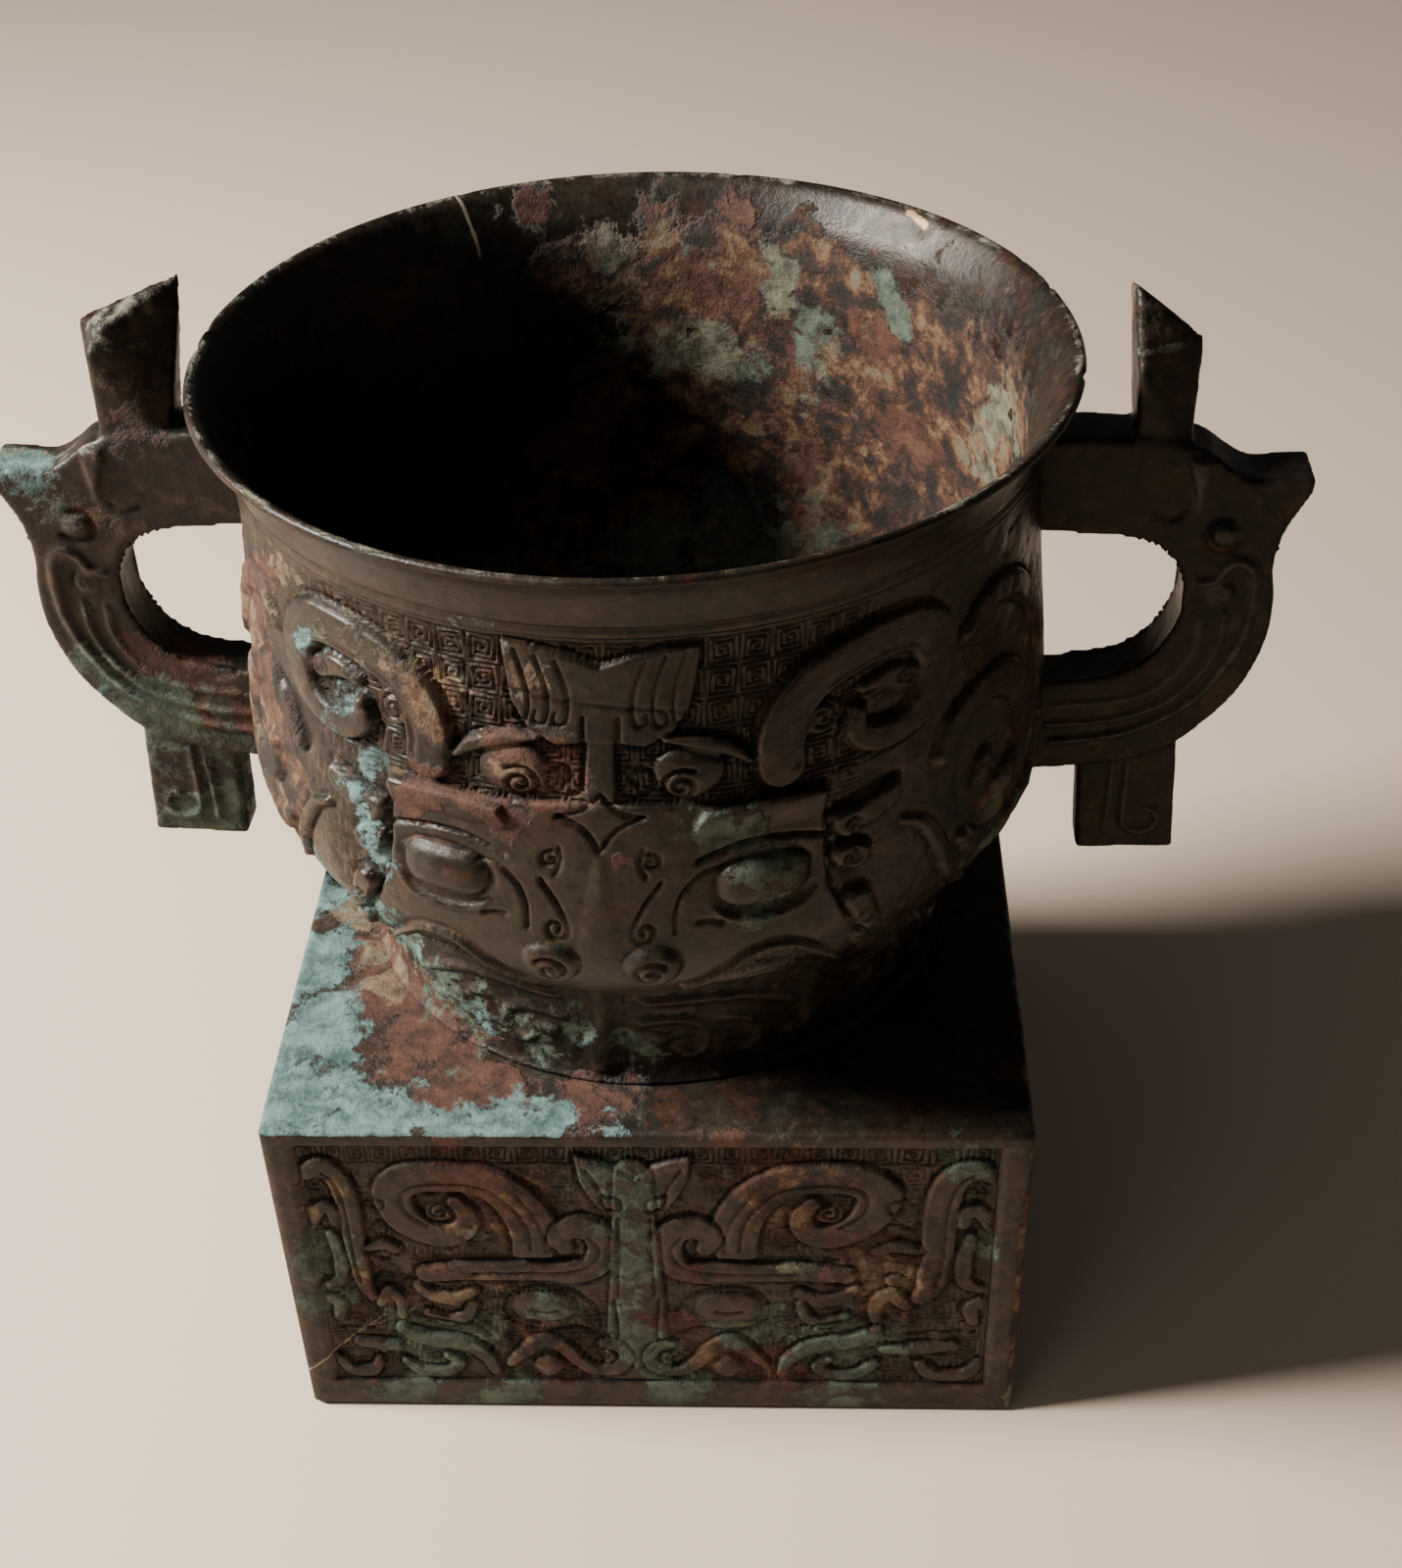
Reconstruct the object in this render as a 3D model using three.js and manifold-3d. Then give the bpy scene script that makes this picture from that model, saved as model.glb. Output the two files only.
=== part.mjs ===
// A cast bronze food vessel: a deep round bowl on a ring foot, standing on a hollow square plinth,
// with two loop handles in the shape of horned beasts. Millimetres, +Z up.
// The origin is on the ground, under the centre of the plinth.
import * as THREE from 'three';
import { mergeVertices } from 'three/addons/utils/BufferGeometryUtils.js';
import Module from 'manifold-3d';

const wasm = await Module();
wasm.setup();

// Driving dimensions
const PLINTH_SIDE = 200;
const PLINTH_HEIGHT = 111;
const RIM_RADIUS = 109.5;
const RIM_HEIGHT = 283;
const FOOT_RADIUS = 80;
const WALL = 3.2;
const GAP = 0.3;
// The bowl and its handles sit turned a little on the plinth
const BOWL_TURN = THREE.MathUtils.degToRad(-1.7);
// The animal mask was set a little to the left of the bowl's own front, and leans as it rises
const MASK_SHIFT = -5.4;
const MASK_LEAN = 0.043;

// Plinth
const PLATE_OPENING_RADIUS = 66;
const CORNER_RADIUS = 2.5;
const PANEL_HALF_WIDTH = 91;
const PANEL_LOW = 11;
const PANEL_HIGH = 106.5;
const PANEL_DEPTH = 1.1;

// Bowl
const FOOT_BASE = PLINTH_HEIGHT + GAP;
const BOWL_JOIN = 150.5;
const BOWL_FLOOR = 151;
const BOWL_FACETS = 40;
const MASK_BASE = 170;
// Distances round the bowl are measured at this radius
const GIRTH_RADIUS = 100;

// Handles, measured outwards from the bowl's axis
const HANDLE_HALF_THICKNESS = 7.5;
const PENDANT_HALF_THICKNESS = 6;
const HANDLE_EDGE = 1.6;
const PENDANT_EDGE = 1;
const HANDLE_ROOT = 96;

// Relief
const SINK = 1.6;
const DOME_FACETS = 6;

const bronze = {
  bowl: new THREE.MeshStandardMaterial({ color: 0x4a3b2e, roughness: 0.55, metalness: 0.6 }),
  plinth: new THREE.MeshStandardMaterial({ color: 0x5b5344, roughness: 0.7, metalness: 0.45 }),
  handle: new THREE.MeshStandardMaterial({ color: 0x3d332a, roughness: 0.55, metalness: 0.6 }),
};

// A closed solid from loose vertices and triangles, turned so that its faces point out
function solidFrom(points, triangles) {
  const triVerts = Uint32Array.from(triangles.flat());
  const vertProperties = Float32Array.from(points.flat());
  const at = (i) => new THREE.Vector3().fromArray(vertProperties, 3 * triVerts[i]);
  let volume = 0;
  for (let i = 0; i < triVerts.length; i += 3) volume += at(i).dot(at(i + 1).cross(at(i + 2)));
  if (volume < 0) {
    for (let i = 0; i < triVerts.length; i += 3) {
      [triVerts[i], triVerts[i + 1]] = [triVerts[i + 1], triVerts[i]];
    }
  }
  return new wasm.Manifold(new wasm.Mesh({ numProp: 3, vertProperties, triVerts }));
}

function solidFromGeometry(geometry) {
  const bare = geometry.index ? geometry.toNonIndexed() : geometry.clone();
  bare.deleteAttribute('normal');
  bare.deleteAttribute('uv');
  const merged = mergeVertices(bare, 1e-4);
  const p = merged.attributes.position;
  const points = Array.from({ length: p.count }, (_, i) => [p.getX(i), p.getY(i), p.getZ(i)]);
  const index = Array.from(merged.index.array);
  const triangles = [];
  for (let i = 0; i < index.length; i += 3) {
    const [a, b, c] = index.slice(i, i + 3);
    if (a !== b && b !== c && c !== a) triangles.push([a, b, c]);
  }
  return solidFrom(points, triangles);
}

function geometryFromSolid(solid) {
  const mesh = solid.getMesh();
  const geometry = new THREE.BufferGeometry();
  const positions = new Float32Array((mesh.vertProperties.length / mesh.numProp) * 3);
  for (let i = 0; i < positions.length / 3; i++) {
    for (let k = 0; k < 3; k++) positions[3 * i + k] = mesh.vertProperties[mesh.numProp * i + k];
  }
  geometry.setAttribute('position', new THREE.BufferAttribute(positions, 3));
  geometry.setIndex(Array.from(mesh.triVerts));
  geometry.computeVertexNormals();
  return geometry;
}

const unionAll = (solids) => wasm.Manifold.union(solids);

// Points along a smooth curve through a few given ones
const smooth = (points, steps) =>
  new THREE.SplineCurve(points.map(([x, y]) => new THREE.Vector2(x, y))).getPoints(steps);

// A turned body from a profile of [radius, height] that starts and ends on the axis
function turned(profile, facets = BOWL_FACETS) {
  const lathe = new THREE.LatheGeometry(profile.map(([r, z]) => new THREE.Vector2(r, z)), facets);
  lathe.rotateX(Math.PI / 2);
  return solidFromGeometry(lathe);
}

// A flat plate with a given outline in the XZ plane, with bevelled edges, centred on Y = 0
function plateXZ(outline, halfThickness, bevel) {
  const shape = new THREE.Shape(outline);
  const extrude = new THREE.ExtrudeGeometry(shape, {
    depth: 2 * (halfThickness - bevel),
    bevelEnabled: bevel > 0,
    bevelThickness: bevel,
    bevelSize: bevel,
    bevelOffset: -bevel,
    bevelSegments: 1,
    curveSegments: 1,
  });
  extrude.translate(0, 0, -(halfThickness - bevel));
  extrude.rotateX(Math.PI / 2);
  return solidFromGeometry(extrude);
}

// Relief: a raised band along a curve, and a raised boss. place(u, v, h) gives the point of the
// carved surface at (u, v), raised by h.
function band(place, { path, width, height, steps = 4, tail = 0.5 }) {
  const line = smooth(path, steps);
  const across = [[-1, -SINK], [-0.62, height], [0.62, height], [1, -SINK]];
  const points = [];
  line.forEach((p, i) => {
    const a = line[Math.max(i - 1, 0)];
    const b = line[Math.min(i + 1, steps)];
    const along = b.clone().sub(a).normalize();
    const half = width * (i === 0 || i === steps ? tail : 1);
    for (const [side, h] of across) {
      points.push(place(p.x - along.y * side * half, p.y + along.x * side * half, h));
    }
  });
  const n = across.length;
  const triangles = [];
  for (let i = 0; i < steps; i++) {
    for (let j = 0; j < n; j++) {
      const k = (j + 1) % n;
      triangles.push([i * n + j, i * n + k, (i + 1) * n + k]);
      triangles.push([i * n + j, (i + 1) * n + k, (i + 1) * n + j]);
    }
  }
  for (let j = 1; j < n - 1; j++) {
    triangles.push([0, j + 1, j]);
    triangles.push([steps * n, steps * n + j, steps * n + j + 1]);
  }
  return solidFrom(points, triangles);
}

function boss(place, { at, size, height, turn = 0 }) {
  const rings = [[1, -SINK], [0.85, 0.62 * height], [0.45, height]];
  const points = [];
  for (const [scale, h] of rings) {
    for (let j = 0; j < DOME_FACETS; j++) {
      const angle = (2 * Math.PI * j) / DOME_FACETS;
      const x = size[0] * scale * Math.cos(angle);
      const y = size[1] * scale * Math.sin(angle);
      const u = at[0] + x * Math.cos(turn) - y * Math.sin(turn);
      points.push(place(u, at[1] + x * Math.sin(turn) + y * Math.cos(turn), h));
    }
  }
  const triangles = [];
  for (let r = 0; r < rings.length - 1; r++) {
    for (let j = 0; j < DOME_FACETS; j++) {
      const k = (j + 1) % DOME_FACETS;
      const low = r * DOME_FACETS;
      const high = low + DOME_FACETS;
      triangles.push([low + j, low + k, high + k], [low + j, high + k, high + j]);
    }
  }
  const top = (rings.length - 1) * DOME_FACETS;
  for (let j = 1; j < DOME_FACETS - 1; j++) {
    triangles.push([top, top + j, top + j + 1], [0, j + 1, j]);
  }
  return solidFrom(points, triangles);
}

// All the bands and bosses of a motif. The sides that face away are plainer: they leave out what is
// marked as showing on the front alone.
function raised(place, { bands, bosses }, isFront) {
  const kept = (items) => items.filter((item) => isFront || !item.frontOnly);
  return [...kept(bands).map((item) => band(place, item)), ...kept(bosses).map((item) => boss(place, item))];
}

// A symmetrical motif, whose bands and bosses are given once, for its left half
function symmetrical(place, { bands, bosses, middle }, isFront) {
  const mirrored = (u, v, h) => place(-u, v, h);
  return [
    ...middle.map((item) => band(place, item)),
    ...raised(place, { bands, bosses }, isFront),
    ...raised(mirrored, { bands, bosses }, isFront),
  ];
}

// Bowl: the outer line from the ring foot to the lip, as radius for a height
const OUTER_LINE = [
  [FOOT_RADIUS + 2, FOOT_BASE], [FOOT_RADIUS, 118], [FOOT_RADIUS + 0.6, 145], [85.5, BOWL_JOIN],
  [95, 158.5], [102, 168.5], [104.8, 182], [104.4, 202], [102, 228], [100.4, 254], [102, 270],
  [106.4, 278.8], [RIM_RADIUS, RIM_HEIGHT - 1.6],
];
const INNER_LINE = [
  [RIM_RADIUS - 0.6, RIM_HEIGHT], [RIM_RADIUS - 3.6, RIM_HEIGHT - 1.4], [99.4, 271], [97.2, 255],
  [100.6, 208], [101, 181.5], [93, 162], [76, 152.5], [0, BOWL_FLOOR],
];
const UNDERSIDE = [[0, 147.5], [74, 148.5], [FOOT_RADIUS - WALL, 144], [FOOT_RADIUS - WALL, FOOT_BASE]];

function outerRadius(z) {
  const i = OUTER_LINE.findIndex(([, height]) => height >= z);
  if (i <= 0) return OUTER_LINE[i < 0 ? OUTER_LINE.length - 1 : 0][0];
  const [[r0, z0], [r1, z1]] = [OUTER_LINE[i - 1], OUTER_LINE[i]];
  return r0 + ((r1 - r0) * (z - z0)) / (z1 - z0);
}

// A point on the bowl's wall: u runs round it, in millimetres at the girth radius
const onBowl = (turn, shift = 0, lean = 0) => (u, v, h) => {
  const angle = (u + shift + lean * (v - MASK_BASE)) / GIRTH_RADIUS + turn;
  const r = outerRadius(v) + h;
  return [r * Math.sin(angle), -r * Math.cos(angle), v];
};

// The animal mask on the bowl, left half, as distance from its centre line and height
const BOWL_MASK = {
  middle: [{ path: [[0, 255], [0, 205], [0, 153]], width: 7.5, height: 1.8, steps: 4, tail: 0.9 }],
  bands: [
    // Horn: a broad C with a blunt end, and the hook that curls up inside it
    {
      path: [[-71, 226], [-79, 232], [-81, 242], [-75, 250.5], [-63, 252], [-51.5, 248.5], [-43.5, 241],
        [-40.5, 231], [-41, 224]],
      width: 5.2, height: 2.6, steps: 8, tail: 0.8,
    },
    {
      path: [[-75, 229], [-67, 226], [-60, 227], [-56.5, 231], [-57.5, 236]],
      width: 3.2, height: 2.2, frontOnly: true,
    },
    // Crest, brow, ears
    {
      path: [[-15, 259], [-13.5, 248], [-10, 238]],
      width: 5.5, height: 1.4, steps: 1, tail: 0.7, frontOnly: true,
    },
    { path: [[-49, 213.5], [-36, 215], [-22, 214]], width: 3.8, height: 2.6, steps: 2, tail: 0.8 },
    { path: [[-71, 211], [-62, 210.5], [-53, 206]], width: 4.4, height: 2.4, steps: 3, frontOnly: true },
    { path: [[-66, 199], [-59, 200], [-53, 196]], width: 3.4, height: 2, steps: 2, frontOnly: true },
    // Cheek leaf, the sweep of the lower jaw, the upper lip
    { path: [[-55, 187], [-61, 182], [-67, 173]], width: 3.2, height: 2.2, steps: 2, frontOnly: true },
    {
      path: [[-61, 172], [-70, 164], [-84, 157], [-101, 153]],
      width: 2.8, height: 2, steps: 3, frontOnly: true,
    },
    {
      path: [[-68, 152.5], [-56, 162], [-46, 172], [-37, 174], [-25, 162]],
      width: 2.3, height: 2.4, steps: 5,
    },
    // The beast's body, coiled beside the handle
    {
      path: [[-86, 213], [-96, 221], [-110, 220], [-119, 210], [-118, 197], [-106, 191], [-97, 197]],
      width: 4.4, height: 1.9, steps: 6, frontOnly: true,
    },
  ],
  bosses: [
    { at: [-37, 195.5], size: [11.5, 8], height: 5.4 },
    { at: [-12.4, 171.5], size: [6.8, 7.6], height: 4.2 },
    { at: [-19.5, 228.5], size: [8.2, 7.6], height: 3, frontOnly: true },
  ],
};

// The band of scrolls on the ring foot, one quarter of the way round to each side
const FOOT_BAND = {
  middle: [{ path: [[0, 143], [0, 116]], width: 3.2, height: 1.6, steps: 1, tail: 1 }],
  bands: [
    { path: [[-18, 137], [-36, 139], [-54, 133], [-72, 122]], width: 3, height: 1.2, steps: 3 },
    { path: [[-16, 124], [-28, 120], [-40, 124], [-36, 130]], width: 2.6, height: 1.2, frontOnly: true },
  ],
  bosses: [],
};

function bowlSolid() {
  const vessel = turned([...UNDERSIDE, ...OUTER_LINE, ...INNER_LINE]);
  const relief = [];
  for (const turn of [0, Math.PI]) {
    relief.push(...symmetrical(onBowl(turn, MASK_SHIFT, MASK_LEAN), BOWL_MASK, turn === 0));
    relief.push(...symmetrical(onBowl(turn), FOOT_BAND, turn === 0));
  }
  return vessel.add(unionAll(relief));
}

// The bowl's outside, larger all round by the gap, which the handles are cut back to
function bowlClearance() {
  const grown = OUTER_LINE.map(([r, z]) => [r + 1.5 * GAP, z]);
  return turned([[0, FOOT_BASE - 1], ...grown, [0, RIM_HEIGHT]]);
}

// Plinth: a square box, open below, with a round opening in its top plate under the bowl
function roundedSquare(half, radius) {
  const shape = new THREE.Shape();
  const corners = [[1, 1], [-1, 1], [-1, -1], [1, -1]];
  corners.forEach(([x, y], i) => {
    const start = (i * Math.PI) / 2;
    shape.absarc(x * (half - radius), y * (half - radius), radius, start, start + Math.PI / 2, false);
  });
  return shape;
}

function upright(shape, low, high, curveSegments) {
  const prism = new THREE.ExtrudeGeometry(shape, { depth: high - low, bevelEnabled: false, curveSegments });
  prism.translate(0, 0, low);
  return solidFromGeometry(prism);
}

// A point on one side of the plinth, from the centre of that side's sunk panel
const onPlinth = (turn) => (u, v, h) => {
  const depth = -(PLINTH_SIDE / 2 - PANEL_DEPTH + h);
  const [c, s] = [Math.cos(turn), Math.sin(turn)];
  return [u * c - depth * s, u * s + depth * c, v];
};

// The mask on each side of the plinth, left half
const PLINTH_MASK = {
  middle: [{ path: [[0, 80], [0, 16]], width: 4.6, height: 1.4, steps: 1, tail: 1 }],
  bands: [
    // Horn and the hook inside it
    {
      path: [[-56, 76], [-62, 86], [-56, 94], [-44, 95], [-34, 91], [-28, 83], [-26.5, 74], [-28, 66]],
      width: 4, height: 1.9, steps: 6, tail: 0.8,
    },
    { path: [[-57, 76], [-48, 73], [-42, 79], [-45, 87]], width: 2.6, height: 1.7, frontOnly: true },
    // Brow bar with its round end, crest
    { path: [[-57, 54.5], [-30, 57], [-8, 62], [-6.8, 71], [-14, 75.5]], width: 3.4, height: 1.9, steps: 4 },
    { path: [[-11.5, 101], [-5, 83]], width: 3.8, height: 1.8, steps: 1, tail: 0.8, frontOnly: true },
    // The upright creature at the panel's end, and the body below
    { path: [[-89, 90], [-86, 97.5], [-79, 95], [-77.5, 80], [-77, 54]], width: 2.5, height: 1.7 },
    {
      path: [[-88, 42], [-76, 36], [-65, 43], [-61, 55]],
      width: 2.6, height: 1.6, steps: 3, frontOnly: true,
    },
    {
      path: [[-87, 20], [-72, 24], [-56, 18], [-42, 26]],
      width: 2.8, height: 1.6, steps: 3, frontOnly: true,
    },
  ],
  bosses: [
    { at: [-26, 42.5], size: [9.5, 7.5], height: 2.6 },
    { at: [-11.5, 20.5], size: [6, 6], height: 1.9, frontOnly: true },
  ],
};

function plinthSolid() {
  const half = PLINTH_SIDE / 2;
  const box = upright(roundedSquare(half, CORNER_RADIUS), 0, PLINTH_HEIGHT, 2);
  const inside = roundedSquare(half - WALL - PANEL_DEPTH, CORNER_RADIUS);
  const hollow = upright(inside, -1, PLINTH_HEIGHT - WALL, 2);
  const opening = new THREE.Shape();
  opening.absarc(0, 0, PLATE_OPENING_RADIUS, 0, 2 * Math.PI, false);
  const cuts = [hollow, upright(opening, PLINTH_HEIGHT - 2 * WALL, PLINTH_HEIGHT + 1, 20)];
  const relief = [];
  for (let side = 0; side < 4; side++) {
    const turn = (side * Math.PI) / 2;
    const panel = new THREE.BoxGeometry(2 * PANEL_HALF_WIDTH, 2 * PANEL_DEPTH, PANEL_HIGH - PANEL_LOW);
    panel.translate(0, -half, (PANEL_HIGH + PANEL_LOW) / 2);
    panel.rotateZ(turn);
    cuts.push(solidFromGeometry(panel));
    relief.push(...symmetrical(onPlinth(turn), PLINTH_MASK, side === 0));
  }
  return box.subtract(unionAll(cuts)).add(unionAll(relief));
}

// Handle outline, outwards from the bowl: the arm's top, the brow, the flared snout, the back of
// the loop, and the arm's underside
function handleOutline() {
  const head = smooth([[130, 260], [140, 257.5], [146, 253], [152, 249.8], [160, 250.2]], 6);
  const snout = [[167.5, 250.6], [167, 246.5]].map(([x, z]) => new THREE.Vector2(x, z));
  const throat = smooth([[163.4, 240], [160.2, 232], [159.6, 225]], 3);
  const back = smooth([[161.4, 216], [161.2, 205], [158, 193], [152, 182], [141, 170]], 7);
  const arm = smooth([[132, 165.5], [116, 162], [HANDLE_ROOT, 160]], 3);
  return [new THREE.Vector2(HANDLE_ROOT, 260), ...head, ...snout, ...throat, ...back, ...arm];
}

const HOLE_LINE = [
  [HANDLE_ROOT - 8, 235], [112, 235.2], [124, 234], [133, 230], [138.6, 221], [138.6, 209], [133, 198],
  [124, 191.3], [112, 188.8], [HANDLE_ROOT - 8, 188],
];
const HOLE_STEPS = 13;

const PENDANT = [[141.5, 176], [144, 133], [117.5, 132], [115.5, 172]]
  .map(([x, z]) => new THREE.Vector2(x, z));

// Horn: a shaft that widens upwards to a slanting three-cornered top
const HORNS = {
  left: {
    top: [[112.5, 7, 298], [138.5, 4, 287.5], [134.5, -7.3, 282], [130, -5, 289.5]],
    foot: [[119, -6], [135.5, -6], [135.5, 6.5], [119, 6.5]],
  },
  right: {
    top: [[119.5, 7, 296], [121, 2, 296.5], [137.5, 2.5, 283.5], [122, -7, 279.5]],
    foot: [[123.5, -6], [136, -6], [136, 6], [123.5, 6]],
  },
};
const HORN_FOOT_HEIGHT = 254;

function hornSolid({ top, foot }) {
  return wasm.Manifold.hull([...top, ...foot.map(([x, y]) => [x, y, HORN_FOOT_HEIGHT])]);
}

// A point on the front or back face of a handle
const onHandle = (face, half) => (u, v, h) => [u, -face * (half + h), v];

// Relief on a handle's face: on the loop and on the pendant
const LOOP_RELIEF = {
  bands: [
    // The ear leaf and the brow over the eye
    { path: [[137.5, 257], [139, 249], [141.5, 240]], width: 3.2, height: 1.5, steps: 2, frontOnly: true },
    {
      path: [[150, 231.5], [146, 229], [141.5, 232], [142.5, 237.5]],
      width: 1.7, height: 1.1, frontOnly: true,
    },
    // The scroll on the neck, and the two ribs down the loop
    {
      path: [[142, 218], [148, 219], [151, 225], [155.5, 222], [154.5, 209], [149.5, 196]],
      width: 1.8, height: 1.1, steps: 6,
    },
    {
      path: [[147.5, 211], [146, 199], [138, 188], [124, 180], [106, 177]],
      width: 1.7, height: 1.1, steps: 3,
    },
    { path: [[149.5, 196], [142, 184], [128, 174], [106, 170]], width: 1.7, height: 1.1, steps: 3 },
  ],
  bosses: [{ at: [146.5, 234.5], size: [2.8, 2.4], height: 1.3 }],
};
const PENDANT_RELIEF = {
  bands: [
    {
      path: [[133, 164], [133, 142], [127, 137.5], [122.5, 142], [126, 147]],
      width: 1.5, height: 1, steps: 5, frontOnly: true,
    },
    { path: [[137.5, 162], [138.5, 139]], width: 1.4, height: 1, steps: 1, tail: 1 },
  ],
  bosses: [],
};

function handleSolid(side) {
  const loop = plateXZ(handleOutline(), HANDLE_HALF_THICKNESS, HANDLE_EDGE);
  const hole = plateXZ(smooth(HOLE_LINE, HOLE_STEPS), 2 * HANDLE_HALF_THICKNESS, 0);
  const pendant = plateXZ(PENDANT, PENDANT_HALF_THICKNESS, PENDANT_EDGE);
  const relief = [];
  for (const face of [1, -1]) {
    const isFront = face === 1;
    relief.push(...raised(onHandle(face, HANDLE_HALF_THICKNESS), LOOP_RELIEF, isFront));
    relief.push(...raised(onHandle(face, PENDANT_HALF_THICKNESS), PENDANT_RELIEF, isFront));
  }
  const beast = unionAll([loop.subtract(hole), pendant, hornSolid(HORNS[side]), ...relief]);
  const placed = side === 'left' ? beast.mirror([1, 0, 0]) : beast;
  return placed.subtract(bowlClearance());
}

function meshOf(name, solid, material) {
  const mesh = new THREE.Mesh(geometryFromSolid(solid), material);
  mesh.name = name;
  return mesh;
}

const vessel = new THREE.Group();
vessel.rotation.z = BOWL_TURN;
vessel.add(meshOf('bowl', bowlSolid(), bronze.bowl));
vessel.add(meshOf('handle_left', handleSolid('left'), bronze.handle));
vessel.add(meshOf('handle_right', handleSolid('right'), bronze.handle));

const gui = new THREE.Group();
gui.add(meshOf('plinth', plinthSolid(), bronze.plinth));
gui.add(vessel);

export default gui;
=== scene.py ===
"""The looks of a cast bronze food vessel: mask relief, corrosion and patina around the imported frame.

Lengths inside the modelling functions are millimetres, in the frame's own axes; mesh_piece turns
them into metres. The bowl and its handles stand turned a little on the plinth.
"""

import math

import bmesh
import bpy
import numpy as np
from mathutils import Euler, Matrix, Vector


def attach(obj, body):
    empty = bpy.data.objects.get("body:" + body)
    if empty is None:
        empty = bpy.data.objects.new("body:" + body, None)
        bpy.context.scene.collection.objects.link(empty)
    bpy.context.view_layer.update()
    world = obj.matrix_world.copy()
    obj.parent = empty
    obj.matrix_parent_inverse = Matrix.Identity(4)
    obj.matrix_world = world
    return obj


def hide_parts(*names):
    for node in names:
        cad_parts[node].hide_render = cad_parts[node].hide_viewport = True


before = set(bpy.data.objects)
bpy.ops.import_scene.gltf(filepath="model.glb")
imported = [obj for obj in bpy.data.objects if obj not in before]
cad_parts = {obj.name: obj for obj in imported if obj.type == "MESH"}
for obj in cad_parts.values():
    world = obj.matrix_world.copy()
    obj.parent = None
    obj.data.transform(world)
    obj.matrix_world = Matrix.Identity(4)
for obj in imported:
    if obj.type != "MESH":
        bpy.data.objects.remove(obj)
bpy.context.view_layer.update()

MM = 0.001

# Sizes shared with the frame
PLINTH_HALF = 100.0
PLINTH_HEIGHT = 111.0
RIM_HEIGHT = 283.0
WALL = 3.2
BOWL_TURN = math.radians(-1.7)
GIRTH_RADIUS = 100.0
MASK_SHIFT = -3.9
MASK_LEAN = 0.043
MASK_BASE = 170.0
FOOT_BASE = 111.3
PANEL_HALF = 91.0
PANEL_LOW = 11.0
PANEL_HIGH = 106.5
PANEL_DEPTH = 1.1

# Outer and inner lines of the bowl, as radius and height
FOOT_LINE = [(82.2, 111.3), (80.7, 113.2), (80.0, 118), (80.0, 132), (80.6, 144), (82.2, 148.5)]
WALL_LINE = [
    (84.6, 150.2), (89.5, 153.6), (95.4, 158.6), (99.6, 163.6), (102.4, 169), (104.4, 176.5),
    (105.1, 185), (104.8, 196), (103.9, 208), (102.6, 222), (101.3, 236), (100.5, 249), (100.4, 258),
]
LIP_LINE = [(100.9, 264), (101.9, 269.5), (103.4, 273.5), (105.4, 277.2), (107.8, 280), (109.3, 281.5)]
INNER_LINE = [
    (108.2, 283.0), (105.6, 281.4), (102.6, 277), (99.8, 271.5), (98.0, 264), (97.3, 255), (97.9, 240),
    (99.3, 222), (100.6, 206), (101.2, 194), (101.0, 182), (98.2, 171), (92.5, 162), (85.0, 156.2),
    (74.0, 152.6), (58.0, 151.2), (30.0, 151.0),
]


# Repeatable noise

def lattice(ix, iy, iz, seed):
    """A repeatable random number from 0 to 1 for each whole-number point."""
    n = ix * 374761393 + iy * 668265263 + iz * 1442695041 + seed * 974711
    n = n & 0xFFFFFFFF
    n = ((n ^ (n >> 13)) * 1274126177) & 0xFFFFFFFF
    return ((n ^ (n >> 16)) & 0xFFFF) / 65535.0


def noise(points, scale, seed):
    """Smooth noise from 0 to 1 at each point, with lumps about scale across."""
    q = points / scale
    base = np.floor(q).astype(np.int64)
    f = q - base
    f = f * f * (3 - 2 * f)
    total = 0.0
    for dx in (0, 1):
        wx = f[..., 0] if dx else 1 - f[..., 0]
        for dy in (0, 1):
            wy = f[..., 1] if dy else 1 - f[..., 1]
            for dz in (0, 1):
                wz = f[..., 2] if dz else 1 - f[..., 2]
                corner = lattice(base[..., 0] + dx, base[..., 1] + dy, base[..., 2] + dz, seed)
                total = total + wx * wy * wz * corner
    return total


def fbm(points, scale, seed, octaves=4):
    """Noise with finer and finer detail added, from 0 to 1."""
    total, weight, norm = 0.0, 1.0, 0.0
    for k in range(octaves):
        total = total + weight * noise(points, scale / 2**k, seed + 17 * k)
        norm += weight
        weight *= 0.55
    return total / norm


def smoothstep(low, high, x):
    t = np.clip((x - low) / (high - low), 0, 1)
    return t * t * (3 - 2 * t)


def spline(points, per_span=8):
    """A smooth line through the given points, which may hold further values such as a width."""
    p = np.array(points, float)
    p = np.vstack([2 * p[0] - p[1], p, 2 * p[-1] - p[-2]])
    t = np.linspace(0, 1, per_span, endpoint=False)[:, None]
    out = []
    for i in range(1, len(p) - 2):
        a, b, c, d = p[i - 1], p[i], p[i + 1], p[i + 2]
        out.append(0.5 * (2 * b + (c - a) * t + (2 * a - 5 * b + 4 * c - d) * t**2
                          + (3 * b - a - 3 * c + d) * t**3))
    return np.vstack(out + [p[-2:-1]])


def spaced(values, step):
    """Grid lines from the first to the last value, about one step apart; step may be a function."""
    lines = [values[0]]
    while lines[-1] < values[1]:
        lines.append(lines[-1] + (step(lines[-1]) if callable(step) else step))
    lines = np.array(lines)
    return values[0] + (lines - values[0]) * (values[1] - values[0]) / (lines[-1] - values[0])


# Carving: heights drawn on a flat grid

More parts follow.
